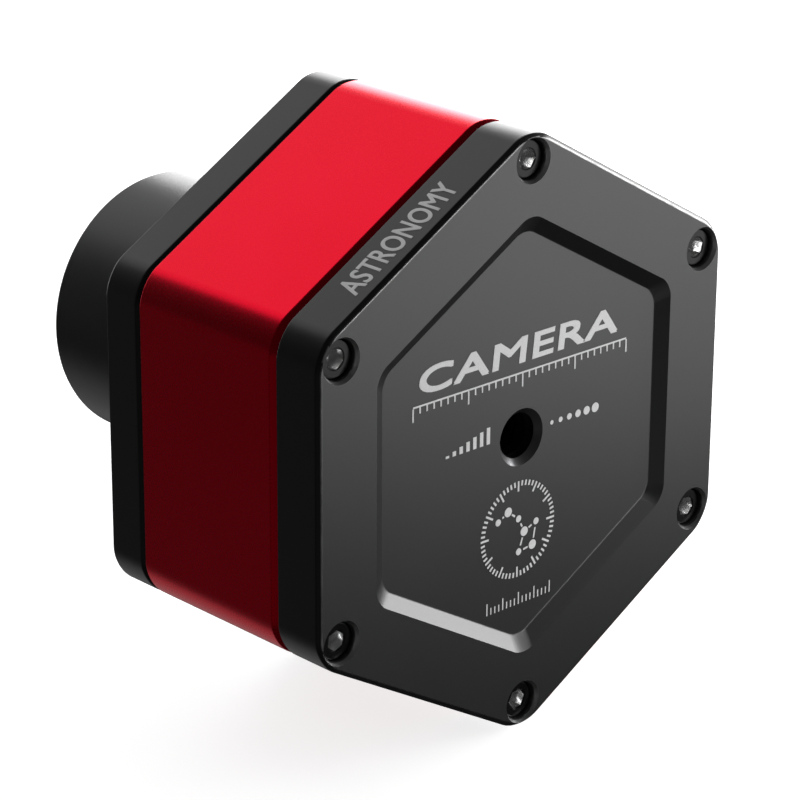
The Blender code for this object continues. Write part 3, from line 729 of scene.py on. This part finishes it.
def makeFrontCover():
    body = hexBlock("frontCover", housing["acrossFlats"], housing["corner"], frontSeam, coverFace)
    chamferRim(body, coverFace, housing["rim"], -1, housing["softEdge"])
    chamferRim(body, frontSeam, housing["frontRearChamfer"], 1, housing["softEdge"])
    headSeat = frontScrewHigh.y - screwSizes["headHeight"] - gap / 2
    carve(body, counterboreTool(coverFace, headSeat, -1))
    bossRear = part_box("sensor_baffle")[1].y + gap
    boss = [(frontOpening["bossRadius"], bossRear), (frontOpening["bossRadius"], frontSeam + mm)]
    carve(body, walkProfile("tool", boss, sides["boss"]), "UNION")
    postRadius = frontOpening["postRadius"]
    holeRadius = frontOpening["postHoleRadius"]
    postRear = frontLow.y
    holeFront = postRear + frontOpening["postHoleDepth"]
    for number in range(1, 5):
        low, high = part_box(f"board_standoff_{number}")
        place = Matrix.Translation(((low.x + high.x) / 2, 0, (low.z + high.z) / 2))
        postLine = [(postRadius, postRear), (postRadius, frontSeam + 1.5 * mm)]
        post = walkProfile("post", postLine, sides["post"])
        post.data.transform(place)
        carve(body, post, "UNION")
        hole = walkProfile("hole", [(holeRadius, postRear - mm), (holeRadius, holeFront)], sides["pin"])
        hole.data.transform(place)
        carve(body, hole)
    # stepped opening: M42 thread, ring pocket, window pocket, light hole
    wide = frontOpening["threadRadius"]
    mouth = coverFace - frontOpening["mouth"]
    floor = coverFace - frontOpening["boreDepth"]
    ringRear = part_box("window_ring")[0].y
    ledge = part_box("window_seal")[0].y - gap
    profile = [(wide + mm, coverFace + mm), (wide, mouth)]
    addGrooves(profile, wide, frontOpening["threadDepth"], mouth, floor, frontOpening["threadPitch"])
    profile += [
        (wide, floor),
        (frontOpening["ringPocket"], floor),
        (frontOpening["ringPocket"], ringRear),
        (frontOpening["windowPocket"], ringRear),
        (frontOpening["windowPocket"], ledge),
        (frontOpening["lightHole"], ledge),
        (frontOpening["lightHole"] + frontOpening["lightHoleLean"], bossRear - mm),
    ]
    carve(body, walkProfile("tool", profile, sides["ring"]))
    dress(body, "blackAnodised", "camera_body", "black_anodised", "front_cover")
    # painted highlight along the rim of the front face
    paintRimHighlights(body, coverFace)
    paintBores(body, cornerPlaces, housing["counterboreMouth"] + tiny, headSeat, coverFace, "screwSeat")
    return body


frontCover = makeFrontCover()
print("front cover:", len(frontCover.data.polygons), "faces")


def makeCaseScrew():
    # head's bearing face at y 0, shaft towards +Y
    head = screwSizes["headRadius"]
    top = -screwSizes["headHeight"]
    edge = screwSizes["headEdge"]
    shaft = screwSizes["shaftRadius"]
    profile = [
        (head - edge, top),
        (head - edge * 0.62, top + edge * 0.08),
        (head - edge * 0.29, top + edge * 0.29),
        (head - edge * 0.08, top + edge * 0.62),
        (head, top + edge),
        (head, -edge),
        (head - edge * 0.4, 0),
        (shaft, 0),
        (shaft, screwSizes["threadStart"]),
    ]
    length = screwSizes["length"]
    depth = screwSizes["threadDepth"]
    addGrooves(profile, shaft, -depth, screwSizes["threadStart"], length - 0.5 * mm, screwSizes["pitch"])
    profile.append((shaft * 0.6, length))
    screw = walkProfile("screw", profile, 2 * screwSizes["knurls"])
    # straight knurl: every second line of the head's side is pressed in
    step = math.pi / screwSizes["knurls"]

    def isGroove(co):
        onSide = math.hypot(co.x, co.z) > head - tiny and top + edge - tiny < co.y < tiny - edge
        return onSide and round(math.atan2(co.z, co.x) / step) % 2 == 0

    selectParts(screw, "VERT", isGroove)
    widen(screwSizes["knurlSize"])
    endEdit()
    # hexagon key with a drilled point at its bottom and a chamfered mouth
    across = screwSizes["keyAcross"]
    mouth = screwSizes["keyMouth"]
    keyReach = across / math.sqrt(3)
    bottom = top + screwSizes["keyDepth"]
    carve(screw, hexBlock("tool", across, 0, top - mm, bottom))
    share, pointDepth = screwSizes["keyPoint"]
    wide = keyReach * share
    point = [(wide, bottom - 0.05 * mm), (wide, bottom), (0.05 * mm, bottom + pointDepth)]
    carve(screw, walkProfile("tool", point, 36))
    flare = [(keyReach + 2 * mouth, top - mouth), (keyReach - 0.02 * mm, top + mouth)]
    carve(screw, walkProfile("tool", flare, sides["seat"]))
    cleanUp(screw)
    finishShape(screw, 40)
    screw.data.materials.clear()
    screw.data.materials.append(finish["blackSteel"])
    screw.data.materials.append(finish["socketSteel"])
    for face in screw.data.polygons:
        centre = face.center
        inKey = math.hypot(centre.x, centre.z) < across / 2 + 3 * tiny
        if inKey and top + tiny < centre.y < 0:
            face.material_index = 1
    return screw


def placeCaseScrews():
    pattern = makeCaseScrew()
    half = Matrix.Rotation(math.pi, 4, "Z")
    for end, turn in (("rear", Matrix.Identity(4)), ("front", half)):
        for number in range(1, len(cornerPlaces) + 1):
            node = f"{end}_screw_{number}"
            low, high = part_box(node)
            headHeight = screwSizes["headHeight"]
            seat = low.y + headHeight if end == "rear" else high.y - headHeight
            place = Matrix.Translation(((low.x + high.x) / 2, seat, (low.z + high.z) / 2))
            spin = Matrix.Rotation(screwSizes["keyTurn"] * number, 4, "Y")
            screw = copyTo(pattern, f"{end}Screw{number}", place @ turn @ spin)
            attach(screw, "camera_body")
            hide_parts(node)
    discard(pattern)


placeCaseScrews()
print("case screws placed")

nose = {
    "barrelRadius": 15.85 * mm,
    "boreRadius": 13.6 * mm,
    "filterRadius": 14.0 * mm,
    "filterDepth": 5.0 * mm,
    "filterPitch": 0.6 * mm,
    "filterGroove": 0.25 * mm,
    "filterMouth": 0.3 * mm,
    "flangeRadius": 22.9 * mm,
    "flangeThickness": 3.0 * mm,
    "flangeEdge": 0.4 * mm,
    "undercut": 0.6 * mm,
    "threadRadius": 20.5 * mm,
    "threadPitch": 0.75 * mm,
    "threadDepth": 0.35 * mm,
    "knurls": 90,
    "knurlDepth": 0.35 * mm,
    "mouthEdge": 0.4 * mm,
    "baffleGroove": 0.3 * mm,
    "baffleStep": 1.5 * mm,
}


def makeNosepiece():
    rear = noseLow.y
    front = noseHigh.y
    flangeRear = -nose["flangeThickness"]
    flange = nose["flangeRadius"]
    barrel = nose["barrelRadius"]
    bore = nose["boreRadius"]
    depth = nose["threadDepth"]
    threadRoot = nose["threadRadius"] - depth
    edge = nose["flangeEdge"]
    mouth = nose["mouthEdge"]
    profile = [(bore, rear), (threadRoot, rear)]
    addGrooves(profile, threadRoot, depth, rear, flangeRear - nose["undercut"], nose["threadPitch"])
    filterFront = front - nose["filterMouth"]
    profile += [
        (threadRoot, flangeRear),
        (flange - edge, flangeRear),
        (flange, flangeRear + edge),
        (flange, -edge),
        (flange - edge, 0),
        (barrel + 0.5 * mm, 0),
        (barrel + 0.15 * mm, 0.15 * mm),
        (barrel, 0.5 * mm),
        (barrel, front - mouth),
        (barrel - mouth * 0.3, front - mouth * 0.3),
        (barrel - mouth, front),
        (nose["filterRadius"] + nose["filterMouth"], front),
        (nose["filterRadius"], filterFront),
    ]
    filterRear = front - nose["filterDepth"]
    groove = nose["filterGroove"]
    addGrooves(profile, nose["filterRadius"], groove, filterFront, filterRear, nose["filterPitch"])
    profile.append((bore, filterRear))
    # light-trap grooves along the bore
    y = filterRear
    step = nose["baffleStep"]
    while y - step > rear + mm:
        profile.append((bore + nose["baffleGroove"], y - step * 0.2))
        profile.append((bore + nose["baffleGroove"], y - step * 0.8))
        profile.append((bore, y - step))
        y -= step
    body = walkProfile("nosepieceBarrel", profile, 2 * nose["knurls"], closed=True)
    knurl = math.pi / nose["knurls"]

    def isGroove(co):
        onRim = math.hypot(co.x, co.z) > flange - tiny
        return onRim and round(math.atan2(co.z, co.x) / knurl) % 2 == 0

    selectParts(body, "VERT", isGroove)
    widen(1 - nose["knurlDepth"] / flange)
    endEdit()
    return dress(body, "blackTurned", "nosepiece", "black_anodised", "nosepiece", angle=32)


nosepiece = makeNosepiece()
print("nosepiece:", len(nosepiece.data.polygons), "faces")


def makeRoundRing(name, node, width, body):
    # rubber ring that fills its CAD node's box, with rounded edges
    low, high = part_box(node)
    outer = high.x
    inner = outer - width
    soft = (high.y - low.y) * 0.3
    profile = [
        (inner, low.y + soft),
        (inner + soft, low.y),
        (outer - soft, low.y),
        (outer, low.y + soft),
        (outer, high.y - soft),
        (outer - soft, high.y),
        (inner + soft, high.y),
        (inner, high.y - soft),
    ]
    ring = walkProfile(name, profile, sides["ring"], closed=True)
    return dress(ring, "rubber", body, "black_rubber", node, angle=60)


makeRoundRing("noseSeal", "nose_seal", 1.5 * mm, "nose_thread")
makeRoundRing("windowSeal", "window_seal", 1.6 * mm, "camera_body")


window = {
    "edge": 0.15 * mm,
    "ringInner": 11.9 * mm,
    "ringEdge": 0.2 * mm,
    "ringLean": 0.6 * mm,
    "slot": 0.8 * mm,
}


def makeWindow():
    low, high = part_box("window_glass")
    radius = high.x
    edge = window["edge"]
    flat = radius - edge
    profile = [(flat, low.y), (radius, low.y + edge), (radius, high.y - edge), (flat, high.y)]
    pane = walkProfile("windowPane", profile, sides["ring"])
    return dress(pane, "glass", "camera_body", "coated_glass", "window_glass")


def makeWindowRing():
    # threaded ring with a slot across it for the tool that turns it
    low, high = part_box("window_ring")
    outer = high.x
    inner = window["ringInner"]
    edge = window["ringEdge"]
    profile = [
        (inner + window["ringLean"], low.y),
        (outer, low.y),
        (outer, high.y - edge),
        (outer - edge, high.y),
        (inner + edge, high.y),
        (inner, high.y - edge),
    ]
    ring = walkProfile("windowRing", profile, sides["ring"], closed=True)
    slotLow = (-outer - mm, (low.y + high.y) / 2, -window["slot"])
    carve(ring, block("tool", slotLow, (outer + mm, high.y + mm, window["slot"])))
    return dress(ring, "blackTurned", "camera_body", "black_anodised", "window_ring")


sensor = {
    "well": (8.8 * mm, 6.6 * mm),
    "wellDepth": 0.6 * mm,
    "die": (6.6 * mm, 4.4 * mm),
    "dieThickness": 0.35 * mm,
    "padAt": 3.85 * mm,
    "padHalf": (0.2 * mm, 0.1 * mm),
    "padHeight": 0.05 * mm,
    "padPitch": 0.36 * mm,
    "padsASide": 14,
}


def makeSensor():
    # ceramic package with a well for the die, and pads on both sides of the die
    low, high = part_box("sensor_package")
    floor = high.y - sensor["wellDepth"]
    package = block("sensorPackage", low, high, 0.15 * mm)
    halfX, halfZ = [size / 2 for size in sensor["well"]]
    carve(package, block("tool", (-halfX, floor, -halfZ), (halfX, high.y + mm, halfZ), 0.2 * mm))
    dress(package, "ceramic", "camera_body", "sensor_ceramic", "sensor_package")
    halfX, halfZ = [size / 2 for size in sensor["die"]]
    dieTop = floor + sensor["dieThickness"]
    die = block("sensorDie", (-halfX, floor, -halfZ), (halfX, dieTop, halfZ), 0.02 * mm)
    dress(die, "die", "camera_body", "sensor_ceramic")
    halfX, halfZ = sensor["padHalf"]
    padTop = floor + sensor["padHeight"]
    pads = []
    for side in (-1, 1):
        for number in range(sensor["padsASide"]):
            z = (number - (sensor["padsASide"] - 1) / 2) * sensor["padPitch"]
            x = side * sensor["padAt"]
            padLow = (x - halfX, floor, z - halfZ)
            pads.append(block("pad", padLow, (x + halfX, padTop, z + halfZ), 0.01 * mm, 1))
    bond = joinAll("sensorPads", pads)
    dress(bond, "gold", "camera_body", "brass", angle=0)
    low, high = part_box("sensor_glass")
    cover = block("sensorCover", low, high, 0.08 * mm)
    dress(cover, "glass", "camera_body", "coated_glass", "sensor_glass")


makeWindow()
makeWindowRing()
makeSensor()
print("window and sensor made")


def makeUsbShell():
    # thin can with a stepped outline, open towards +X
    low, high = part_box("usb_shell")
    centre = (low.z + high.z) / 2
    top = low.y + usb["bodyHeight"]
    half = usb["stepWidth"] / 2
    edge = usb["canEdge"]
    can = block("usbCan", low, (high.x, top, high.z), edge, 3)
    step = block("tool", (low.x, top - mm, centre - half), (high.x, high.y, centre + half), edge, 3)
    carve(can, step, "UNION")
    wall = usb["wall"]
    back = low.x + wall
    mouth = high.x + mm
    edge = usb["hollowEdge"]
    hollow = block("tool", (back, low.y + wall, low.z + wall), (mouth, top - wall, high.z - wall), edge)
    stepLow = (back, top - mm, centre - half + wall)
    carve(hollow, block("step", stepLow, (mouth, high.y - wall, centre + half - wall), edge), "UNION")
    carve(can, hollow)
    # two spring fingers cut into each side
    fingerBack, fingerFront = [high.x - reach for reach in usb["fingerReach"]]
    for side in (low.z, high.z):
        for rise in usb["fingers"]:
            fingerLow = (fingerBack, low.y + rise - usb["fingerHalf"], side - mm)
            carve(can, block("tool", fingerLow, (fingerFront, low.y + rise + usb["fingerHalf"], side + mm)))
    return dress(can, "brightSteel", "camera_body", "bright_steel", "usb_shell")


def makeUsbTongue():
    low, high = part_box("usb_tongue")
    centre = (low.z + high.z) / 2
    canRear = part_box("usb_shell")[0].y
    width, height = usb["tongue"]
    middle = canRear + usb["bodyHeight"] / 2
    front = low.x + usb["insertDepth"]
    half = usb["insertHalf"]
    top = canRear + usb["bodyHeight"] - usb["insertDrop"]
    insert = block("usbInsert", low, (front, top, high.z), 0.1 * mm)
    upper = block("tool", (low.x, middle, centre - half), (front, high.y, centre + half), 0.1 * mm)
    carve(insert, upper, "UNION")
    tongueLow = (low.x + mm, middle - height / 2, centre - width / 2)
    tongueHigh = (high.x, middle + height / 2, centre + width / 2)
    carve(insert, block("tool", tongueLow, tongueHigh, usb["tongueEdge"]), "UNION")
    dress(insert, "bluePlastic", "camera_body", "blue_plastic", "usb_tongue")
    # flat contacts: two above and two below the tongue, five on the upper block
    contacts = []
    for face in (-1, 1):
        for side in (-1, 1):
            z = centre + side * usb["contactAt"]
            y = middle + face * height / 2
            corner = (low.x + 5 * mm, y - 0.1 * mm, z - 0.5 * mm)
            opposite = (high.x - 0.8 * mm, y + 0.1 * mm, z + 0.5 * mm)
            contacts.append(block("contact", corner, opposite, 0.04 * mm, 1))
    for number in range(5):
        z = centre + (number - 2) * usb["contactPitch"]
        corner = (low.x + 3 * mm, high.y - 1.5 * mm, z - 0.2 * mm)
        opposite = (high.x - 3.2 * mm, high.y - 1.2 * mm, z + 0.2 * mm)
        contacts.append(block("contact", corner, opposite, 0.04 * mm, 1))
    strips = joinAll("usbContacts", contacts)
    dress(strips, "gold", "camera_body", "brass")


guide = {
    "mouth": (9.9 * mm, 6.9 * mm),
    "latch": (6.4 * mm, 1.9 * mm),
    "floor": 1.6 * mm,
    "depth": 13.0 * mm,
    "wireHalf": 0.15 * mm,
    "wirePitch": 1.02 * mm,
    "wireSlope": math.radians(-13),
}


def makeGuideSocket():
    low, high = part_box("guide_socket")
    centre = (low.z + high.z) / 2
    width, height = guide["mouth"]
    latchWidth, latchHeight = guide["latch"]
    body = block("guideSocket", low, high, 0.25 * mm, 3)
    floor = low.y + guide["floor"]
    back = high.x - guide["depth"]
    front = high.x + mm
    mouth = block("tool", (back, floor, centre - width / 2), (front, floor + height, centre + width / 2))
    latchTop = floor + height + latchHeight
    latchLow = (back, floor + mm, centre - latchWidth / 2)
    latch = block("latch", latchLow, (front, latchTop, centre + latchWidth / 2))
    carve(mouth, latch, "UNION")
    carve(body, mouth)
    dress(body, "blackPlastic", "camera_body", "black_plastic", "guide_socket")
    # six spring wires that slope up from the mouth to the back
    half = guide["wireHalf"]
    pivot = high.x - 3 * mm
    turn = Matrix.Translation((pivot, floor + 0.5 * mm, 0)) @ Matrix.Rotation(guide["wireSlope"], 4, "Z")
    wires = []
    for number in range(6):
        z = centre + (number - 2.5) * guide["wirePitch"]
        wireLow = (back + 0.5 * mm, -half, z - half)
        wire = block("wire", wireLow, (high.x - 2.5 * mm, half, z + half), 0.06 * mm, 1)
        wire.data.transform(turn @ Matrix.Translation((-pivot, 0, 0)))
        wires.append(wire)
    contacts = joinAll("guideContacts", wires)
    dress(contacts, "gold", "camera_body", "brass")


makeUsbShell()
makeUsbTongue()
makeGuideSocket()
print("sockets made")

printSizes = {
    "thickness": 0.03 * mm,
    "title": "CAMERA",
    "titleSize": (29.6 * mm, 2.8 * mm),
    "titleAt": (-0.4 * mm, 8.6 * mm),
    "titleSlant": 0.12,
    "titleSpread": 0.11 * mm,
    "scaleWidth": 32.0 * mm,
    "scaleAt": (0.0, 7.4 * mm),
    "leftMarksAt": (-8.0 * mm, 0.5 * mm),
    "rightMarksAt": (8.0 * mm, -0.4 * mm),
    "emblemAt": (-0.3 * mm, -10.6 * mm),
    "emblemRadius": 5.6 * mm,
    "captionAt": (0.0, -19.5 * mm),
    "sideText": "ASTRONOMY",
    "sideTextSize": (16.6 * mm, 3.0 * mm),
    "sideTextSpread": 0.05 * mm,
    "sideTextFrom": 9.6 * mm,
    "letterSpacing": 1.04,
    "lift": 0.002 * mm,
    "rulerTicks": 33,
    "stars": ((-3.0, 1.6), (-1.5, 2.4), (0.1, 1.2), (1.0, -0.5), (2.8, 0.2), (2.3, -2.4), (0.2, -2.7)),
    "compassTicks": 60,
}


def flatText(name, words, width, height):
    # text in the X Y plane, its middle at 0 and its baseline at y 0, stretched to the given size
    pickNone()
    bpy.ops.object.text_add()
    text = bpy.context.object
    text.name = name
    text.data.body = words
    text.data.align_x = "CENTER"
    text.data.space_character = printSizes["letterSpacing"]
    text.data.resolution_u = 6
    bpy.ops.object.convert(target="MESH")
    text = bpy.context.object
    xs = [vertex.co.x for vertex in text.data.vertices]
    ys = [vertex.co.y for vertex in text.data.vertices]
    scaleX = width / (max(xs) - min(xs))
    scaleY = height / (max(ys) - min(ys))
    shift = Matrix.Translation((-(max(xs) + min(xs)) / 2, -min(ys), 0))
    text.data.transform(Matrix.Diagonal((scaleX, scaleY, 1, 1)) @ shift)
    return text


def embolden(piece, spread):
    # four copies a little to each side make the strokes wider, each a hair higher than the last
    copies = []
    for number, (x, y) in enumerate(((-1, -1), (1, -1), (-1, 1), (1, 1))):
        shift = Matrix.Translation((x * spread, y * spread, number * printSizes["lift"]))
        copies.append(copyTo(piece, "copy", shift))
    discard(piece)
    return joinAll("bold", copies)


def thicken(piece):
    # gives a flat print its thickness
    editAll(piece)
    bpy.ops.mesh.remove_doubles(threshold=tiny / 100)
    bpy.ops.mesh.extrude_region_move(TRANSFORM_OT_translate={"value": (0, 0, printSizes["thickness"])})
    bpy.ops.mesh.select_all(action="SELECT")
    bpy.ops.mesh.normals_make_consistent(inside=False)
    endEdit()


def flatStroke(points, width):
    # thin line through points in the X Y plane, as a row of narrow rectangles
    strokes = []
    for (x0, y0), (x1, y1) in zip(points, points[1:]):
        length = math.hypot(x1 - x0, y1 - y0)
        pickNone()
        bpy.ops.mesh.primitive_plane_add(size=1)
        stroke = bpy.context.object
        turn = Matrix.Rotation(math.atan2(y1 - y0, x1 - x0), 4, "Z")
        size = Matrix.Diagonal((length, width, 1, 1))
        stroke.data.transform(Matrix.Translation(((x0 + x1) / 2, (y0 + y1) / 2, 0)) @ turn @ size)
        strokes.append(stroke)
    return strokes


def flatDisc(x, y, radius, sides=24):
    pickNone()
    bpy.ops.mesh.primitive_circle_add(vertices=sides, radius=radius, fill_type="NGON")
    disc = bpy.context.object
    disc.data.transform(Matrix.Translation((x, y, 0)))
    return disc


def makePrint(name, flat, place, paint="whitePrint"):
    thicken(flat)
    bpy.ops.object.shade_flat()
    flat.name = name
    flat.data.transform(place)
    dress(flat, paint, "camera_body", "bare_aluminium", angle=0)


def rearPlace(x, z):
    # from the print's own plane to the panel's floor, read from behind
    onFloor = rearFace + rearPanel["depth"] - 0.2 * printSizes["thickness"]
    return Matrix.Translation((x, onFloor, z)) @ Matrix.Rotation(math.pi / 2, 4, "X")


def sidePlace(along, y):
    # onto the rear cover's flat that faces left and up, read towards the top corner
    across = Vector((math.cos(math.pi / 6), 0, math.sin(math.pi / 6)))
    outward = Vector((-0.5, 0, math.cos(math.pi / 6)))
    turn = Matrix((across, Vector((0, 1, 0)), outward)).transposed().to_4x4()
    onFlat = outward * (housing["acrossFlats"] / 2 - 0.2 * printSizes["thickness"])
    return Matrix.Translation(onFlat + across * along + Vector((0, y, 0))) @ turn


def growingBars(count, width, height, pitch):
    # row of bars, each taller than the last
    bars = []
    for number in range(count):
        tall = height * (number + 1) / count
        x = (number - (count - 1) / 2) * pitch
        bars += flatStroke([(x, 0), (x, tall)], width)
    return bars


def ringOfTicks(radius, count, length, width):
    ticks = []
    for number in range(count):
        angle = 2 * math.pi * number / count
        inner = radius - (length if number % 5 == 0 else length * 0.5)
        start = (inner * math.cos(angle), inner * math.sin(angle))
        ticks += flatStroke([start, (radius * math.cos(angle), radius * math.sin(angle))], width)
    return ticks


def makePrints():
    title = flatText("title", printSizes["title"], *printSizes["titleSize"])
    title = embolden(title, printSizes["titleSpread"])
    slant = Matrix.Identity(4)
    slant[0][1] = printSizes["titleSlant"]
    title.data.transform(slant)
    makePrint("printTitle", title, rearPlace(*printSizes["titleAt"]))
    # ruler under the title
    half = printSizes["scaleWidth"] / 2
    ruler = flatStroke([(-half, 0), (half, 0)], 0.2 * mm)
    for number in range(printSizes["rulerTicks"]):
        x = (number - printSizes["rulerTicks"] // 2) * mm
        tall = (1.6 if number % 8 == 0 else 0.8) * mm
        ruler += flatStroke([(x, -0.11 * mm), (x, -tall)], 0.2 * mm)
    # growing bars on the left of the hole, a row of growing dots on its right
    bars = growingBars(7, 0.5 * mm, 1.9 * mm, 1.0 * mm)
    dots = []
    for number in range(6):
        dots.append(flatDisc((number - 2.5) * 1.35 * mm, 0.9 * mm, (0.25 + 0.06 * number) * mm))
    # a ring of ticks round a small group of stars, each joined to the next and the last to the fourth
    ticks = ringOfTicks(printSizes["emblemRadius"], printSizes["compassTicks"], 1.2 * mm, 0.24 * mm)
    spots = [(x * mm, y * mm) for x, y in printSizes["stars"]]
    stars = []
    for start, end in zip(spots, spots[1:] + spots[3:4]):
        away = (Vector(end) - Vector(start)).normalized() * 0.72 * mm
        ends = [(start[0] + away.x, start[1] + away.y), (end[0] - away.x, end[1] - away.y)]
        stars += flatStroke(ends, 0.22 * mm)
    for number, (x, y) in enumerate(spots):
        stars.append(flatDisc(x, y, (0.55 if number % 2 else 0.40) * mm))
    caption = []
    for number in range(-8, 9):
        x = number * 0.6 * mm
        tall = (1.4 if number % 4 == 0 else 0.8) * mm
        caption += flatStroke([(x, 0), (x, tall)], 0.16 * mm)
    rows = (
        ("printRuler", ruler, "scaleAt"),
        ("printBars", bars, "leftMarksAt"),
        ("printDots", dots, "rightMarksAt"),
        ("printCompass", ticks, "emblemAt"),
        ("printStars", stars, "emblemAt"),
        ("printCaption", caption, "captionAt"),
    )
    for name, marks, at in rows:
        makePrint(name, joinAll("marks", marks), rearPlace(*printSizes[at]))
    # word along the cover's flat
    width, height = printSizes["sideTextSize"]
    word = embolden(flatText("sideWord", printSizes["sideText"], width, height), printSizes["sideTextSpread"])
    along = -printSizes["sideTextFrom"] + width / 2
    makePrint("printSideWord", word, sidePlace(along, (rearFace + rearSeam) / 2 - height / 2), "markedMetal")


makePrints()
print("prints made")

# inner pieces that keep their CAD shape
keptFinishes = {
    "board": ["sensor_board", "main_board"],
    "mattPaint": ["sensor_baffle"],
    "chipEpoxy": ["processor_chip", "memory_chip", "usb_chip"],
    "thermalPad": ["sensor_pad", "chip_pad"],
    "blackPlastic": ["board_connector"],
    "milledAluminium": ["cooling_plate"],
    "brass": [f"board_standoff_{number}" for number in range(1, 5)],
    "brightSteel": [f"board_screw_{number}" for number in range(1, 5)],
}
for name, nodes in keptFinishes.items():
    for node in nodes:
        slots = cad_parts[node].material_slots
        for index in range(len(slots)):
            slots[index].material = finish[name]

stageSizes = {"floorSize": 6.0, "floorDrop": 0.5 * mm, "roomLight": 0.03}


def makeStage():
    pickNone()
    floorHeight = cadBounds[0].z - stageSizes["floorDrop"]
    bpy.ops.mesh.primitive_plane_add(size=stageSizes["floorSize"], location=(0, 0, floorHeight))
    floor = bpy.context.object
    floor.name = "floor"
    material, tree, shader = startMaterial("paleFloor", 0.8, 0.0)
    pale = {"Base Color": (0.80, 0.80, 0.80, 1), "Emission Color": (1, 1, 1, 1), "Emission Strength": 0.80}
    setInputs(shader, pale)
    floor.data.materials.append(material)
    floor.visible_glossy = False
    floor.visible_diffuse = False
    floor.visible_shadow = False
    # the camera sees a white background, the object a nearly dark room
    world = bpy.data.worlds.new("studio")
    bpy.context.scene.world = world
    world.use_nodes = True
    tree = world.node_tree
    dim = tree.nodes["Background"]
    setInputs(dim, {"Color": (1, 1, 1, 1), "Strength": stageSizes["roomLight"]})
    mix = addNode(tree, "MixShader")
    wire(addNode(tree, "LightPath"), "Is Camera Ray", mix, "Fac")
    wire(dim, "Background", mix, 1)
    wire(addNode(tree, "Background", Strength=1.0), "Background", mix, 2)
    wire(mix, "Shader", tree.nodes["World Output"], "Surface")


# direction from the body, distance, width, height, watts
lamps = {
    "overheadBack": ((0.08, 0.68, 0.72), 0.45, 0.42, 0.42, 0.50),
    "rightBack": ((0.68, 0.68, 0.25), 0.45, 0.20, 0.33, 1.0),
    "floorBounce": ((0.0, 0.68, -0.73), 0.40, 0.30, 0.30, 0.08),
    "left": ((-0.85, -0.35, -0.35), 0.45, 0.35, 0.25, 0.014),
    "leftBack": ((-0.72, 0.60, -0.34), 0.45, 0.34, 0.34, 0.014),
    "front": ((-0.05, 0.98, 0.12), 0.45, 0.30, 0.30, 0.35),
    "right": ((0.94, -0.28, 0.10), 0.40, 0.30, 0.18, 1.6),
    "rimRight": ((0.975, 0.03, 0.222), 0.40, 0.10, 0.10, 0.10),
    "faceGlow": ((0.62, -0.78, 0.04), 0.26, 0.18, 0.22, 0.29),
    "edgeLine": ((0.42, -0.90, 0.05), 0.40, 0.05, 0.05, 0.10),
    "lowerFront": ((0.05, -0.85, -0.5), 0.40, 0.30, 0.20, 0.06),
}


def makeLamps():
    middle = Vector((0, (rearFace + coverFace) / 2, 0))
    for name, (direction, distance, width, height, watts) in lamps.items():
        lamp = bpy.data.objects.new(name, bpy.data.lights.new(name, "AREA"))
        bpy.context.collection.objects.link(lamp)
        lamp.data.shape = "RECTANGLE"
        lamp.data.size = width
        lamp.data.size_y = height
        lamp.data.energy = watts
        towards = Vector(direction).normalized()
        lamp.location = middle + towards * distance
        lamp.rotation_euler = towards.to_track_quat("Z", "Y").to_euler()
        lamp.visible_camera = False


viewpoint = {
    "azimuth": math.radians(43.261),
    "elevation": math.radians(20.766),
    "roll": math.radians(0.322),
    "distance": 347.4 * mm,
    "aimRight": -13.65 * mm,
    "aimUp": 4.234 * mm,
    "lens": 146.55,
}


def makeCamera():
    azimuth, elevation, roll = viewpoint["azimuth"], viewpoint["elevation"], viewpoint["roll"]
    level = Vector((math.cos(azimuth), -math.sin(azimuth), 0))
    away = Vector((-math.sin(azimuth), -math.cos(azimuth), 0))
    back = away * math.cos(elevation) + Vector((0, 0, math.sin(elevation)))
    upright = back.cross(level)
    right = level * math.cos(roll) + upright * math.sin(roll)
    up = upright * math.cos(roll) - level * math.sin(roll)
    aim = right * viewpoint["aimRight"] + up * viewpoint["aimUp"]
    spot = Vector((0, rearFace, 0)) + back * viewpoint["distance"] + aim
    camera = bpy.data.objects.new("camera", bpy.data.cameras.new("camera"))
    bpy.context.collection.objects.link(camera)
    camera.data.lens = viewpoint["lens"]
    camera.data.clip_start = 0.01
    turn = Matrix((right, up, back)).transposed().to_4x4()
    camera.matrix_world = Matrix.Translation(spot) @ turn
    bpy.context.scene.camera = camera


makeStage()
makeLamps()
makeCamera()
bpy.context.scene.view_settings.view_transform = "Standard"
